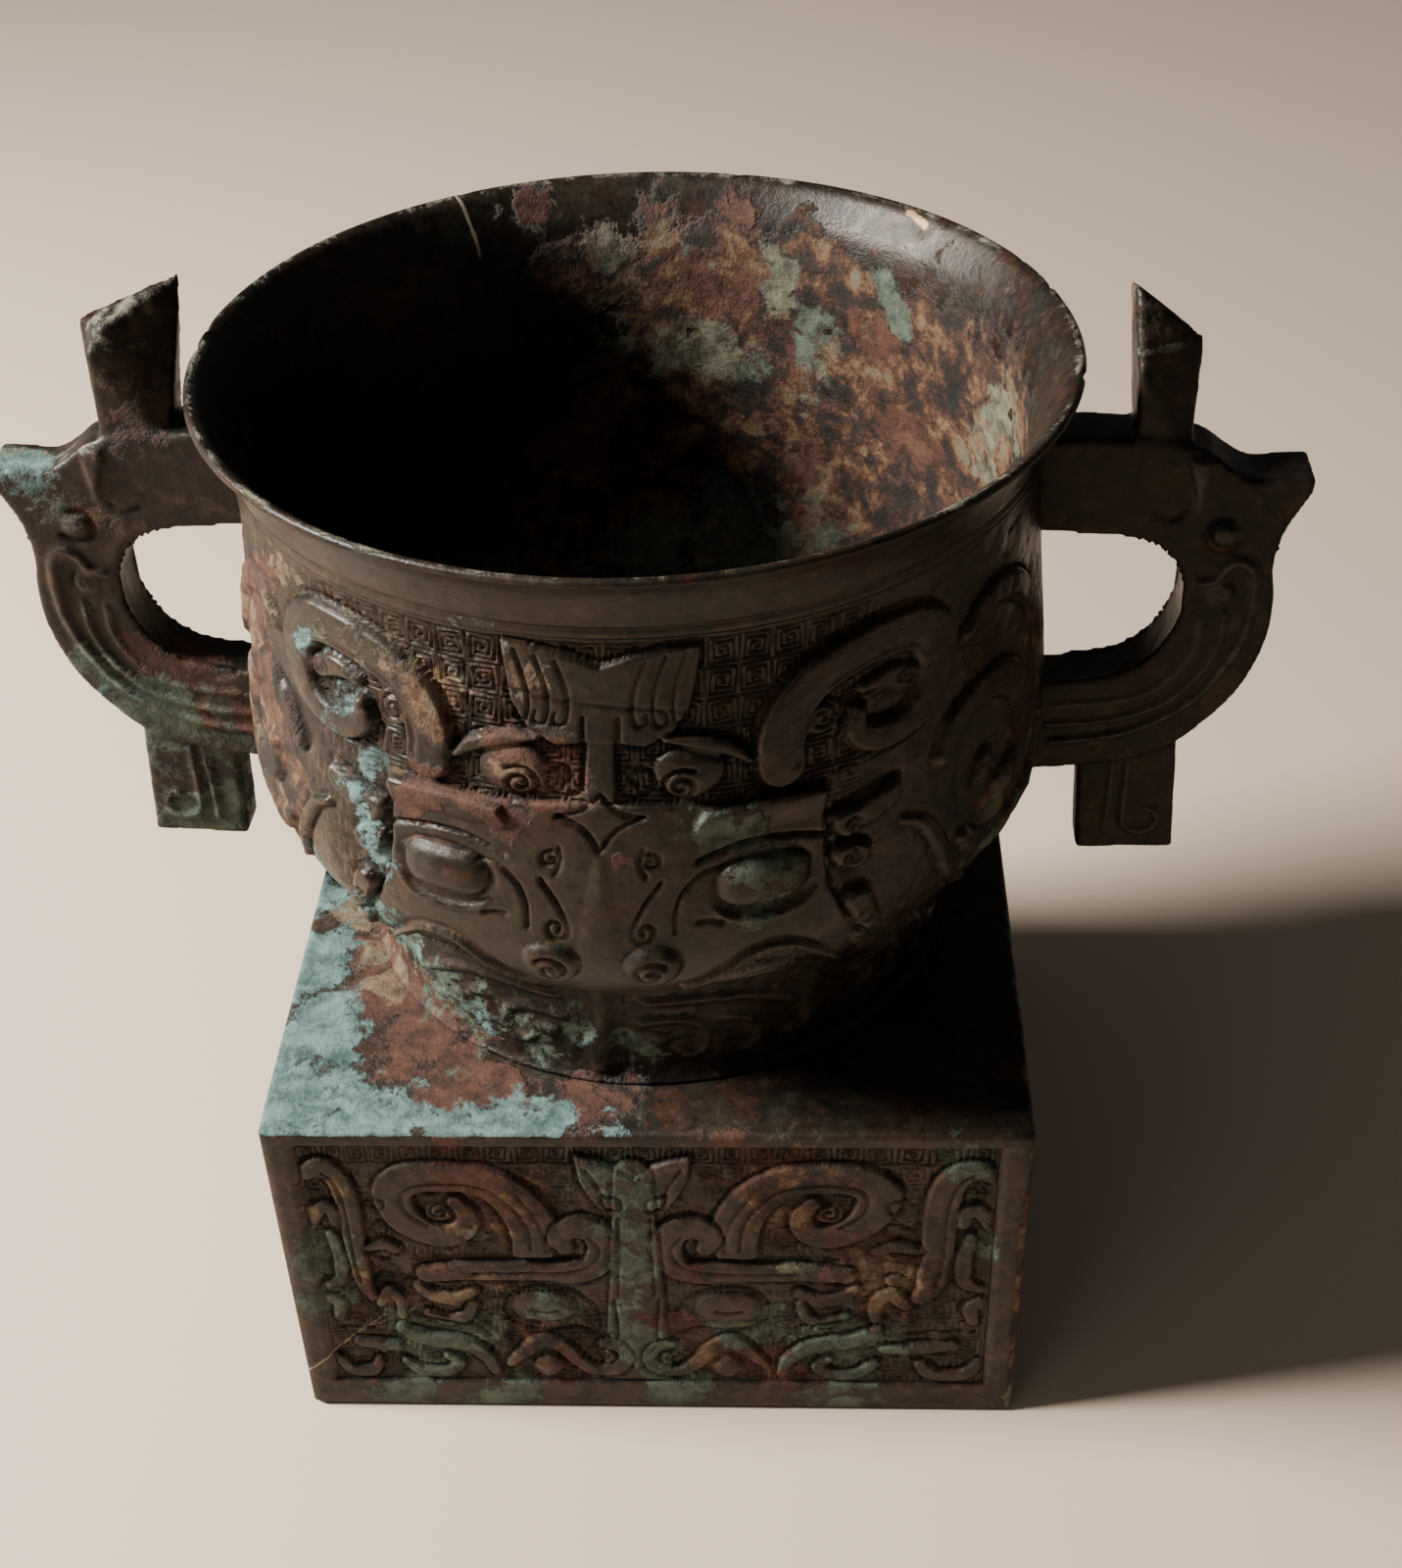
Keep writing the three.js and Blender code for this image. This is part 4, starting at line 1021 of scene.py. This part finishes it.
# Corrosion by kind, each a list of x, y, z, reach and strength in the frame's own axes
PATCHES = {
    "green": [
        # Front of the plinth
        (-11, -100, 95, 9, 1.0), (-6, -100, 80, 9, 0.9), (-5, -100, 62, 10, 0.9), (-6, -100, 46, 13, 1.0),
        (-5, -100, 28, 13, 1.0), (-66, -100, 26, 14, 1.0), (-50, -100, 30, 12, 0.95), (-90, -100, 62, 12, 1.0),
        (-92, -100, 44, 11, 0.9), (-70, -100, 5, 15, 0.95), (-40, -100, 5, 16, 0.8), (5, -100, 6, 14, 0.9),
        (27, -100, 37, 14, 0.95), (49, -100, 29, 16, 0.95), (49, -100, 10, 16, 0.8), (80, -100, 96, 11, 0.85),
        (62, -100, 38, 14, 0.7), (-28, -100, 43, 10, 0.7), (86, -100, 70, 14, 0.6), (-99, -96, 62, 12, 0.8),
        # The ring foot's left front
        (-40, -70, 122, 16, 0.62), (-56, -57, 124, 15, 0.66), (-22, -78, 122, 14, 0.58), (-28, -76, 136, 12, 0.5),
        (-68, -42, 126, 14, 0.8), (-6, -82, 120, 11, 0.6),
        # Right brow and eye of the bowl's mask, and the dark right side
        (17, -106, 214, 9, 0.85), (28, -104, 208, 10, 0.8), (32, -104, 198, 12, 0.82), (22, -105, 200, 7, 0.6),
        (88, -58, 176, 16, 0.6), (95, -40, 190, 18, 0.55), (70, -78, 240, 16, 0.45), (84, -60, 214, 14, 0.45),
        # Inside
        (-12, 98, 238, 13, 0.7), (10, 99, 232, 14, 0.7), (24, 97, 226, 12, 0.85), (5, 99, 264, 10, 0.6),
        (-18, 97, 262, 11, 0.6), (66, 73, 260, 9, 1.0), (34, 92, 252, 10, 0.9), (45, 88, 240, 12, 0.8),
        (18, 94, 172, 20, 1.0), (-8, 92, 164, 18, 0.9), (50, 82, 172, 18, 0.8), (92, 30, 246, 12, 0.9),
        # Handles: lower half of the left loop and its pendant
        (-138, 0, 172, 18, 1.0), (-152, -4, 188, 16, 0.8), (-158, 0, 238, 14, 0.7), (-122, -6, 140, 16, 0.9),
        (-140, -6, 138, 14, 0.8), (-165, 0, 250, 9, 0.9), (-120, -4, 166, 16, 0.7), (-130, -6, 156, 14, 0.8),
        (136, 0, 168, 14, 0.5), (158, 0, 214, 14, 0.45),
    ],
    "turquoise": [
        # Top of the plinth, in front on the left, and the ring foot there
        (-92, -90, 111, 26, 0.96), (-70, -95, 111, 18, 0.96), (-46, -98, 111, 14, 0.94), (-24, -99, 111, 10, 0.9),
        (-8, -99, 111, 7, 0.75), (-94, -62, 111, 21, 0.94), (-95, -34, 111, 16, 0.92), (-97, -10, 111, 14, 0.86),
        (-28, -91, 111, 9, 0.6), (-94, 20, 111, 20, 0.8), (-82, -70, 111, 13, 0.66),
        (-40, -72, 119, 12, 0.45), (-56, -58, 122, 12, 0.5), (-22, -79, 121, 11, 0.36), (-34, -97, 111, 10, 0.95),
        (-58, -96, 111, 12, 1.0), (-14, -100, 111, 7, 0.85),
        (-8, -82, 118, 9, 0.45), (-66, -46, 126, 10, 0.66),
        # Beside the left eye of the mask: horn hook, ears, cheek leaf
        (-68, -76, 241, 9, 0.66), (-64, -78, 232, 9, 0.7), (-61, -84, 212, 9, 0.74), (-60, -84, 204, 9, 0.76),
        (-60, -85, 194, 9, 0.72), (-62, -83, 181, 9, 0.74), (-70, -77, 223, 9, 0.6), (-52, -86, 246, 7, 0.3),
        (-78, -66, 166, 10, 0.7), (-158, -4, 250, 11, 0.8), (-150, -6, 180, 10, 0.8),
    ],
    "red": [
        (-72, -48, 111, 14, 1.0), (-62, -64, 111, 15, 1.1), (-48, -80, 111, 14, 1.1), (-34, -87, 111, 11, 1.0),
        (-76, -28, 111, 12, 1.1), (-82, 10, 111, 16, 0.9), (-16, -92, 111, 10, 0.8),
        (-42, -96, 216, 9, 1.05), (-30, -100, 217, 8, 0.9), (-22, -100, 229, 10, 0.95), (-36, -97, 238, 10, 0.8),
        (-96, -40, 236, 16, 0.85), (-92, -48, 214, 14, 0.8), (-2, -106, 201, 3.6, 1.2), (-88, -52, 250, 14, 0.8),
        (-14, -101, 232, 8, 0.7), (-30, -98, 250, 12, 0.5),
        (16, 96, 252, 11, 1.1), (8, 98, 259, 9, 1.0), (63, 75, 243, 12, 1.1), (-26, 96, 208, 16, 0.9),
        (40, 90, 236, 10, 0.8), (72, 70, 222, 14, 0.9), (25, 101, 277, 11, 0.9), (42, 94, 276, 10, 0.7),
        (-41, 96, 279, 10, 0.75), (48, 88, 196, 14, 0.8), (-40, 92, 190, 16, 0.6), (2, 101, 279, 10, 0.6),
        (8, -100, 60, 10, 0.9), (6, -100, 34, 8, 1.0), (32, -100, 20, 12, 1.0), (-46, -100, 98, 15, 0.8),
        (50, -100, 62, 18, 0.7), (-62, -100, 60, 16, 0.7), (-24, -100, 20, 10, 0.8), (22, -100, 98, 14, 0.7),
        (72, -100, 52, 14, 0.6), (-82, -100, 18, 12, 0.7),
        (-128, 0, 190, 16, 0.8), (-110, -6, 172, 12, 0.9), (-134, -7, 262, 14, 0.7), (-146, 0, 236, 10, 0.8),
        (124, 4, 288, 14, 0.8), (120, 0, 170, 14, 0.5),
    ],
    "tan": [
        (-86, -16, 112, 9, 1.0), (-78, -30, 113, 8, 1.0), (-72, -44, 112, 6, 0.9), (-86, 14, 112, 10, 0.8),
        (-60, -62, 112, 5, 0.8), (-46, -74, 112, 4, 0.7), (-84, -14, 120, 9, 0.8),
        (-98, -34, 224, 14, 0.6), (-94, -44, 200, 12, 0.6), (-90, -50, 180, 11, 0.55), (-84, -60, 240, 10, 0.6),
        (-100, -20, 244, 14, 0.55), (-46, -90, 250, 11, 0.6), (-28, -97, 246, 11, 0.65), (-60, -83, 224, 9, 0.5),
        (-20, -100, 226, 8, 0.6), (-80, -62, 258, 12, 0.7),
        (36, 92, 250, 11, 0.75), (44, 89, 232, 11, 0.6), (94, 25, 256, 11, 0.8), (90, 40, 238, 13, 0.85),
        (36, 94, 208, 12, 0.55), (64, 78, 204, 12, 0.5), (50, 88, 190, 13, 0.6), (-16, 97, 262, 11, 0.7),
        (30, 92, 172, 14, 0.55), (14, 99, 234, 12, 0.6),
        (59, -100, 54, 12, 0.75), (-44, -100, 57, 14, 0.7), (-60, -100, 50, 12, 0.7), (-80, -100, 84, 14, 0.6),
        (-30, -100, 98, 12, 0.5), (30, -100, 84, 14, 0.5),
        # On the next line, (-160, 0, 252) on the snout's top and the last two, on the horns' top faces, are partly
        # crust and partly a painted highlight on these lit top faces.
        (-112, 0, 172, 14, 0.5), (-150, 0, 240, 10, 0.45), (-160, 0, 252, 8, 0.8), (121, 5, 292, 13, 1.0), (-118, 4, 296, 10, 0.5),
    ],
    "olive": [
        (-10, 98, 240, 13, 0.72), (8, 99, 236, 15, 0.8), (-16, 97, 230, 10, 0.55), (34, 92, 252, 10, 0.85),
        (30, 94, 262, 10, 0.75), (94, 28, 250, 13, 0.95), (90, 40, 232, 12, 0.75), (40, 90, 222, 10, 0.6),
        (10, 94, 170, 18, 0.65), (40, 86, 166, 16, 0.65), (-18, 97, 264, 10, 0.8), (8, 99, 268, 9, 0.7),
        (-96, -36, 214, 14, 0.6), (-64, -80, 250, 10, 0.6), (-30, -98, 254, 12, 0.6), (-152, 0, 252, 9, 0.7),
        # On the next line, the first two, on the left horn's top face, and the last, on the snout's top, are partly
        # crust and partly a painted highlight on these lit top faces.
        (-124, 2, 296, 12, 0.85), (-136, 2, 286, 9, 0.9), (-160, 0, 251, 9, 0.7),
        (-86, -14, 112, 10, 0.75), (-78, -30, 112, 9, 0.7), (-50, -100, 70, 14, 0.5), (40, -100, 60, 16, 0.5),
    ],
    "mottle": [
        (10, 96, 250, 26, 1.2), (44, 88, 246, 26, 1.2), (76, 62, 244, 26, 1.2), (94, 28, 240, 26, 1.2),
        (0, 94, 214, 26, 1.1), (38, 90, 206, 30, 1.3), (70, 68, 204, 30, 1.3), (90, 36, 200, 28, 1.2),
        (10, 80, 172, 34, 1.2), (50, 66, 166, 34, 1.3), (76, 30, 168, 34, 1.2), (-24, 90, 182, 24, 0.9),
        (20, 40, 152, 40, 1.0), (60, 0, 152, 40, 1.0), (-20, 94, 258, 16, 0.9),
        (-97, -36, 236, 22, 1.0), (-94, -46, 206, 22, 1.0), (-88, -54, 180, 18, 0.9), (-103, -8, 214, 24, 0.9),
        (98, -30, 214, 30, 0.7), (90, -50, 190, 22, 0.7), (86, -56, 236, 22, 0.6),
        (-40, -100, 88, 22, 0.8), (36, -100, 88, 22, 0.8), (-76, -100, 48, 20, 0.8), (60, -100, 50, 24, 0.8),
        (-30, -100, 24, 20, 0.7), (24, -100, 24, 20, 0.7), (-36, -95, 244, 14, 0.8), (-18, -100, 230, 10, 0.8),
        (-120, 0, 172, 20, 0.7), (-150, 0, 236, 14, 0.6),
    ],
}
HIDDEN_PATCHES = {"green": (44, 81, 0.95), "turquoise": (60, 82, 0.8), "red": (36, 83, 0.95), "tan": (30, 84, 0.9),
                  "olive": (34, 86, 0.85),
                  "mottle": (50, 85, 1.1)}


def patches_at(points):
    """How strongly each kind of corrosion shows at each point. The sides that the front view doesn't
    reach have patches too, scattered by noise."""
    shape = points.shape[:-1]
    flat = points.reshape(-1, 3)
    inner = np.array(INNER_LINE)[::-1]
    inner_radius = np.interp(flat[:, 2], inner[:, 1], inner[:, 0])
    outside = (np.linalg.norm(flat[:, :2], axis=1) > inner_radius + WALL / 2) & (flat[:, 2] < 262)
    away = smoothstep(2, 40, flat[:, 1]) * (outside | (flat[:, 2] < 148.6))
    away = np.maximum(away, smoothstep(96, 99.5, flat[:, 0]) * (flat[:, 2] < 111))
    below_top = flat[:, 2] < PLINTH_HEIGHT - 1.0
    on_rim = smoothstep(281.2, 282.6, flat[:, 2]) * (flat[:, 2] < 284)
    wander = np.stack([fbm(flat, 20, 91 + k, 3) - 0.5 for k in range(3)], 1)
    ragged = flat + 26 * wander
    layers = {}
    for kind, blobs in PATCHES.items():
        field = np.zeros(len(flat))
        for x, y, z, reach, strength in blobs:
            near = np.abs(flat - [x, y, z]).max(1) < 2.4 * reach
            if z == PLINTH_HEIGHT:
                near &= ~below_top
            gap = ((ragged[near] - [x, y, z]) ** 2).sum(1) / reach**2
            field[near] = np.maximum(field[near], strength * np.exp(-0.8 * gap))
        if kind == "olive":
            field = np.maximum(field, 0.5 * on_rim)
        size, seed, amount = HIDDEN_PATCHES[kind]
        scattered = amount * smoothstep(0.4, 0.74, fbm(flat, size, seed, 3))
        layers[kind] = np.maximum(field, scattered * (0.1 + 0.9 * away)).reshape(shape)
    return layers


# Materials

class Nodes:
    """Short ways to add and link a material's nodes."""

    def __init__(self, material):
        material.use_nodes = True
        self.tree = material.node_tree
        self.shader = self.tree.nodes["Principled BSDF"]
        self.place = self.tree.nodes.new("ShaderNodeTexCoord").outputs["Object"]

    def set(self, value, socket):
        if isinstance(value, bpy.types.NodeSocket):
            self.tree.links.new(value, socket)
        else:
            socket.default_value = value

    def math(self, operation, a, b=0.0, clamp=False):
        node = self.tree.nodes.new("ShaderNodeMath")
        node.operation = operation
        node.use_clamp = clamp
        self.set(a, node.inputs[0])
        self.set(b, node.inputs[1])
        return node.outputs[0]

    def ramp(self, value, low, high):
        """0 below low, 1 above high, and smooth between. low may be the larger."""
        node = self.tree.nodes.new("ShaderNodeMapRange")
        node.interpolation_type = "SMOOTHSTEP"
        flip = low > high
        self.set(value, node.inputs["Value"])
        node.inputs["From Min"].default_value = min(low, high)
        node.inputs["From Max"].default_value = max(low, high)
        node.inputs["To Min"].default_value = 1.0 if flip else 0.0
        node.inputs["To Max"].default_value = 0.0 if flip else 1.0
        return node.outputs["Result"]

    def noise(self, size_mm, detail=4.0, rough=0.6, distortion=0.0, shift=0.0):
        node = self.tree.nodes.new("ShaderNodeTexNoise")
        place = self.place
        if shift:
            mapping = self.tree.nodes.new("ShaderNodeMapping")
            mapping.inputs["Location"].default_value = (shift, shift, shift)
            self.tree.links.new(self.place, mapping.inputs["Vector"])
            place = mapping.outputs["Vector"]
        self.tree.links.new(place, node.inputs["Vector"])
        node.inputs["Scale"].default_value = 1000.0 / size_mm
        node.inputs["Detail"].default_value = detail
        node.inputs["Roughness"].default_value = rough
        node.inputs["Distortion"].default_value = distortion
        return node.outputs["Fac"]

    def layer(self, name):
        node = self.tree.nodes.new("ShaderNodeAttribute")
        node.attribute_name = name
        return node.outputs["Fac"]

    def mix(self, factor, a, b):
        """Colour a where the factor is 0, and b where it is 1."""
        node = self.tree.nodes.new("ShaderNodeMix")
        node.data_type = "RGBA"
        sockets = [i for i in node.inputs if i.type == "RGBA"]
        self.set(factor, node.inputs[0])
        for value, socket in zip((a, b), sockets):
            self.set((*value, 1.0) if isinstance(value, tuple) else value, socket)
        return [o for o in node.outputs if o.type == "RGBA"][0]

    def palette(self, value, stops):
        """The colour between stops of (value, colour)."""
        node = self.tree.nodes.new("ShaderNodeValToRGB")
        elements = node.color_ramp.elements
        for k, (at, colour) in enumerate(stops):
            element = elements[k] if k < 2 else elements.new(at)
            element.position = at
            element.color = (*colour, 1.0)
        self.set(value, node.inputs["Fac"])
        return node.outputs["Color"]

    def vector(self, operation, a, b=None):
        node = self.tree.nodes.new("ShaderNodeVectorMath")
        node.operation = operation
        self.set(a, node.inputs[0])
        if b is not None:
            self.set(b, node.inputs["Scale"] if operation == "SCALE" else node.inputs[1])
        return node.outputs["Value" if operation in ("DOT_PRODUCT", "LENGTH") else "Vector"]

    def line_mark(self, start, end, width, seen_along):
        """1 on a line between two points, in millimetres, and 0 beside it. The line wavers a little.
        It lies on whatever surface is there, as seen along z for a mark on the lip or along y."""
        keep = (1, 1, 0) if seen_along == "z" else (1, 0, 1)
        a, b = (Vector([c * k * MM for c, k in zip(p, keep)]) for p in (start, end))
        along = b - a
        off = self.vector("SUBTRACT", self.vector("MULTIPLY", self.place, keep), tuple(a))
        t = self.math("DIVIDE", self.vector("DOT_PRODUCT", off, tuple(along)), along.length_squared, clamp=True)
        gap = self.vector("LENGTH", self.vector("SUBTRACT", off, self.vector("SCALE", tuple(along), t)))
        waver = self.math("MULTIPLY", self.math("SUBTRACT", self.noise(5, 3), 0.5), 2 * width * MM)
        mark = self.ramp(self.math("ADD", gap, waver), width * MM, 0.4 * width * MM)
        if seen_along == "y":
            return mark
        height = self.tree.nodes.new("ShaderNodeSeparateXYZ")
        self.set(self.place, height.inputs[0])
        return self.math("MULTIPLY", mark, self.ramp(height.outputs["Z"], 262 * MM, 264 * MM))

    def blend(self, factor, a, b):
        """Number a where the factor is 0, and b where it is 1."""
        node = self.tree.nodes.new("ShaderNodeMix")
        self.set(factor, node.inputs[0])
        self.set(a, node.inputs[2])
        self.set(b, node.inputs[3])
        return node.outputs[0]


# Colours of each kind of corrosion, a dark and a light one, then how far it hides the metal
CORROSION = {
    "red": ((0.022, 0.009, 0.006), (0.088, 0.036, 0.024), 0.8),
    "tan": ((0.034, 0.021, 0.012), (0.165, 0.115, 0.072), 0.82),
    "green": ((0.018, 0.029, 0.022), (0.092, 0.118, 0.084), 0.82),
    "olive": ((0.030, 0.027, 0.018), (0.150, 0.140, 0.098), 0.85),
    "turquoise": ((0.028, 0.062, 0.058), (0.124, 0.204, 0.192), 0.9),
}
MOTTLE = [(0.38, (0.006, 0.006, 0.005)), (0.47, (0.018, 0.011, 0.008)), (0.53, (0.062, 0.026, 0.016)),
          (0.58, (0.12, 0.068, 0.034)), (0.63, (0.13, 0.105, 0.070)), (0.69, (0.075, 0.098, 0.074)),
          (0.76, (0.026, 0.022, 0.016))]


def patina(name, dark, brown, worn, gloss, metal, scratches=()):
    """Old bronze: a dark metal skin, worn on its edges, with brown soil and painted shade (near black) in the
    cuts, and patches of corrosion where the layers say."""
    material = bpy.data.materials.new(name)
    n = Nodes(material)
    n.shader.inputs["Specular IOR Level"].default_value = 0.28
    broad = n.noise(48, 4)
    blotch = n.noise(13, 6, 0.66, 0.6)
    grain = n.noise(3.6, 6, 0.7)
    grit = n.noise(1.1, 3, 0.65)
    cavity = n.layer("cavity")
    colour = n.mix(n.ramp(broad, 0.36, 0.62), dark, brown)
    olive = tuple(0.6 * c + d for c, d in zip(brown, (0.010, 0.016, 0.008)))
    colour = n.mix(n.math("MULTIPLY", n.ramp(blotch, 0.48, 0.66), 0.6), colour, olive)
    rust = tuple(c * k for c, k in zip(brown, (1.7, 1.1, 0.9)))
    colour = n.mix(n.math("MULTIPLY", n.ramp(blotch, 0.47, 0.34), 0.6), colour, rust)
    colour = n.mix(n.math("MULTIPLY", n.ramp(grain, 0.52, 0.68), 0.55), colour, tuple(2.5 * c for c in brown))
    colour = n.mix(n.math("MULTIPLY", n.ramp(grain, 0.48, 0.34), 0.75), colour, tuple(0.35 * c for c in dark))
    on_edge = n.math("MULTIPLY", n.ramp(cavity, 0.42, 0.08), n.ramp(grain, 0.38, 0.62))
    colour = n.mix(n.math("MULTIPLY", on_edge, 0.55), colour, worn)
    in_cut = n.ramp(cavity, 0.55, 0.84)
    # Painted shade and soil: the cuts go towards near black, with patches of brown soil mixed in.
    soil_and_shade = n.mix(n.ramp(blotch, 0.45, 0.64), (0.006, 0.005, 0.004), (0.070, 0.038, 0.018))
    colour = n.mix(n.math("MULTIPLY", in_cut, 0.88), colour, soil_and_shade)
    ragged = n.math("ADD", n.math("MULTIPLY", n.math("SUBTRACT", blotch, 0.5), 1.6),
                    n.math("MULTIPLY", n.math("SUBTRACT", grain, 0.5), 1.3))
    # Mixed crusts, in patches of every colour beside each other
    streaky = n.noise(12, 9, 0.74, 0.35, shift=0.77)
    palette = n.palette(streaky, MOTTLE)
    amount = n.math("ADD", n.layer("mottle"), n.math("MULTIPLY", ragged, 0.5))
    hiding = n.math("MULTIPLY", n.ramp(amount, 0.38, 0.66), 0.85)
    colour = n.mix(hiding, colour, palette)
    for k, (kind, (deep, pale, cover)) in enumerate(CORROSION.items()):
        tone = n.noise(6.5, 7, 0.7, 0.5, shift=0.31 * (k + 1))
        other = n.noise(17, 6, 0.68, 0.9, shift=0.17 * (k + 1))
        edge = n.math("ADD", ragged, n.math("MULTIPLY", n.math("SUBTRACT", other, 0.5), 2.4))
        amount = n.math("ADD", n.layer(kind), n.math("MULTIPLY", edge, 0.62))
        within = n.math("MULTIPLY", n.ramp(n.layer(kind), 0.1, 0.28), cover)
        mask = n.math("MULTIPLY", n.ramp(amount, 0.47, 0.66), within)
        tint = n.mix(n.ramp(tone, 0.32, 0.66), deep, pale)
        # Painted shade: the corrosion colour is darkened in the cuts.
        tint = n.mix(n.math("MULTIPLY", in_cut, 0.6), tint, tuple(0.3 * c for c in deep))
        colour = n.mix(mask, colour, tint)
        hiding = n.math("MAXIMUM", hiding, mask)
    for start, end, width, seen_along, tint in scratches:
        colour = n.mix(n.line_mark(start, end, width, seen_along), colour, tint)
    n.set(colour, n.shader.inputs["Base Color"])
    rough = n.blend(n.ramp(blotch, 0.35, 0.7), gloss, gloss + 0.18)
    rough = n.blend(in_cut, rough, 0.85)
    rough = n.blend(hiding, rough, 0.82)
    n.set(rough, n.shader.inputs["Roughness"])
    n.set(n.blend(hiding, metal, 0.0), n.shader.inputs["Metallic"])
    bump = n.tree.nodes.new("ShaderNodeBump")
    bump.inputs["Distance"].default_value = 0.001
    bump.inputs["Strength"].default_value = 0.7
    relief = n.math("ADD", n.math("MULTIPLY", grain, n.blend(hiding, 0.3, 1.0)),
                    n.math("MULTIPLY", grit, n.blend(hiding, 0.16, 0.45)))
    n.set(n.math("ADD", relief, n.math("MULTIPLY", hiding, 0.5)), bump.inputs["Height"])
    n.tree.links.new(bump.outputs["Normal"], n.shader.inputs["Normal"])
    return material


# Stage, lights and camera

def stage():
    floor_mesh = bpy.data.meshes.new("floor")
    size = 3.0
    floor_mesh.from_pydata([(-size, -size, -0.0005), (size, -size, -0.0005), (size, size, -0.0005),
                            (-size, size, -0.0005)], [], [(0, 1, 2, 3)])
    floor = bpy.data.objects.new("floor", floor_mesh)
    bpy.context.scene.collection.objects.link(floor)
    pale = bpy.data.materials.new("pale_floor")
    pale.use_nodes = True
    shader = pale.node_tree.nodes["Principled BSDF"]
    shader.inputs["Base Color"].default_value = (0.53, 0.42, 0.33, 1)
    shader.inputs["Roughness"].default_value = 0.85
    floor_mesh.materials.append(pale)


def area_light(name, place, aim, size, power, colour):
    light = bpy.data.lights.new(name, "AREA")
    light.shape = "DISK"
    light.size = size
    light.energy = power
    light.color = colour
    lamp = bpy.data.objects.new(name, light)
    lamp.location = place
    lamp.rotation_euler = (Vector(aim) - Vector(place)).to_track_quat("-Z", "Y").to_euler()
    bpy.context.scene.collection.objects.link(lamp)


def lights():
    world = bpy.data.worlds.new("soft_room")
    world.use_nodes = True
    world.node_tree.nodes["Background"].inputs["Color"].default_value = (1.0, 0.955, 0.90, 1)
    world.node_tree.nodes["Background"].inputs["Strength"].default_value = 0.085
    bpy.context.scene.world = world
    area_light("key", (-1.15, -0.14, 1.0), (0, 0, 0.15), 0.42, 95, (1.0, 0.95, 0.88))
    area_light("fill", (-0.75, -1.1, 0.9), (0, 0, 0.12), 0.8, 1.6, (1.0, 0.97, 0.93))


CAMERA_PLACE = (38.0, -491.5, 522.6)
CAMERA_PITCH = 52.69
CAMERA_ROLL = -1.92
CAMERA_YAW = 2.96
CAMERA_LENS = 50.56
SENSOR = 36.0


def camera():
    data = bpy.data.cameras.new("camera")
    data.sensor_width = SENSOR
    data.lens = CAMERA_LENS
    data.clip_start = 0.01
    view = bpy.data.objects.new("camera", data)
    pitch, roll, yaw = (math.radians(a) for a in (CAMERA_PITCH, CAMERA_ROLL, CAMERA_YAW))
    turn = Matrix.Rotation(yaw, 4, "Z") @ Matrix.Rotation(pitch, 4, "X") @ Matrix.Rotation(roll, 4, "Z")
    view.matrix_world = Matrix.Translation([x * MM for x in CAMERA_PLACE]) @ turn
    bpy.context.scene.collection.objects.link(view)
    bpy.context.scene.camera = view


camera()
stage()
lights()
bowl_skin = patina("bowl_patina", (0.0075, 0.0056, 0.0043), (0.020, 0.0128, 0.0082), (0.060, 0.042, 0.027), 0.34, 0.2,
                   scratches=[((-58, 96, 284), (-49, 86, 267), 0.6, "z", (0.26, 0.22, 0.17)),
                              ((70, 80, 279), (74.5, 74, 277), 0.9, "z", (0.30, 0.20, 0.10)),
                              ((102, 37, 283), (104, 33.5, 282.6), 0.9, "z", (0.38, 0.35, 0.30))])
plinth_skin = patina("plinth_patina", (0.011, 0.008, 0.006), (0.027, 0.0172, 0.011), (0.066, 0.046, 0.030), 0.48, 0.12,
                     scratches=[((-100, -99.5, 14), (-75, -99.5, 38), 0.4, "y", (0.20, 0.155, 0.11)),
                                ((-84, -99.5, 31), (-66, -99.5, 40), 0.3, "y", (0.16, 0.125, 0.09))])
handle_skin = patina("handle_patina", (0.0075, 0.0058, 0.0045), (0.018, 0.0125, 0.0085), (0.060, 0.046, 0.032), 0.36, 0.22)

bowl_body(bowl_skin)
mask_slab("bowl_mask_front", False, lambda u: 0.46 if u > -46 else (0.78 if u > -92 else 1.4),
          lambda z: 0.46 if z > 215 else 0.66, bowl_skin)
mask_slab("bowl_mask_back", True, lambda u: 0.9, lambda z: 0.9, bowl_skin)
plinth_body(plinth_skin)
for side, (place, step) in enumerate([("front", 0.48), ("right", 0.95), ("back", 0.95), ("left", 0.95)]):
    panel_slab("plinth_panel_" + place, side, step, plinth_skin)
handle("handle_left_bronze", -1, "handle_left", handle_skin)
handle("handle_right_bronze", 1, "handle_right", handle_skin)
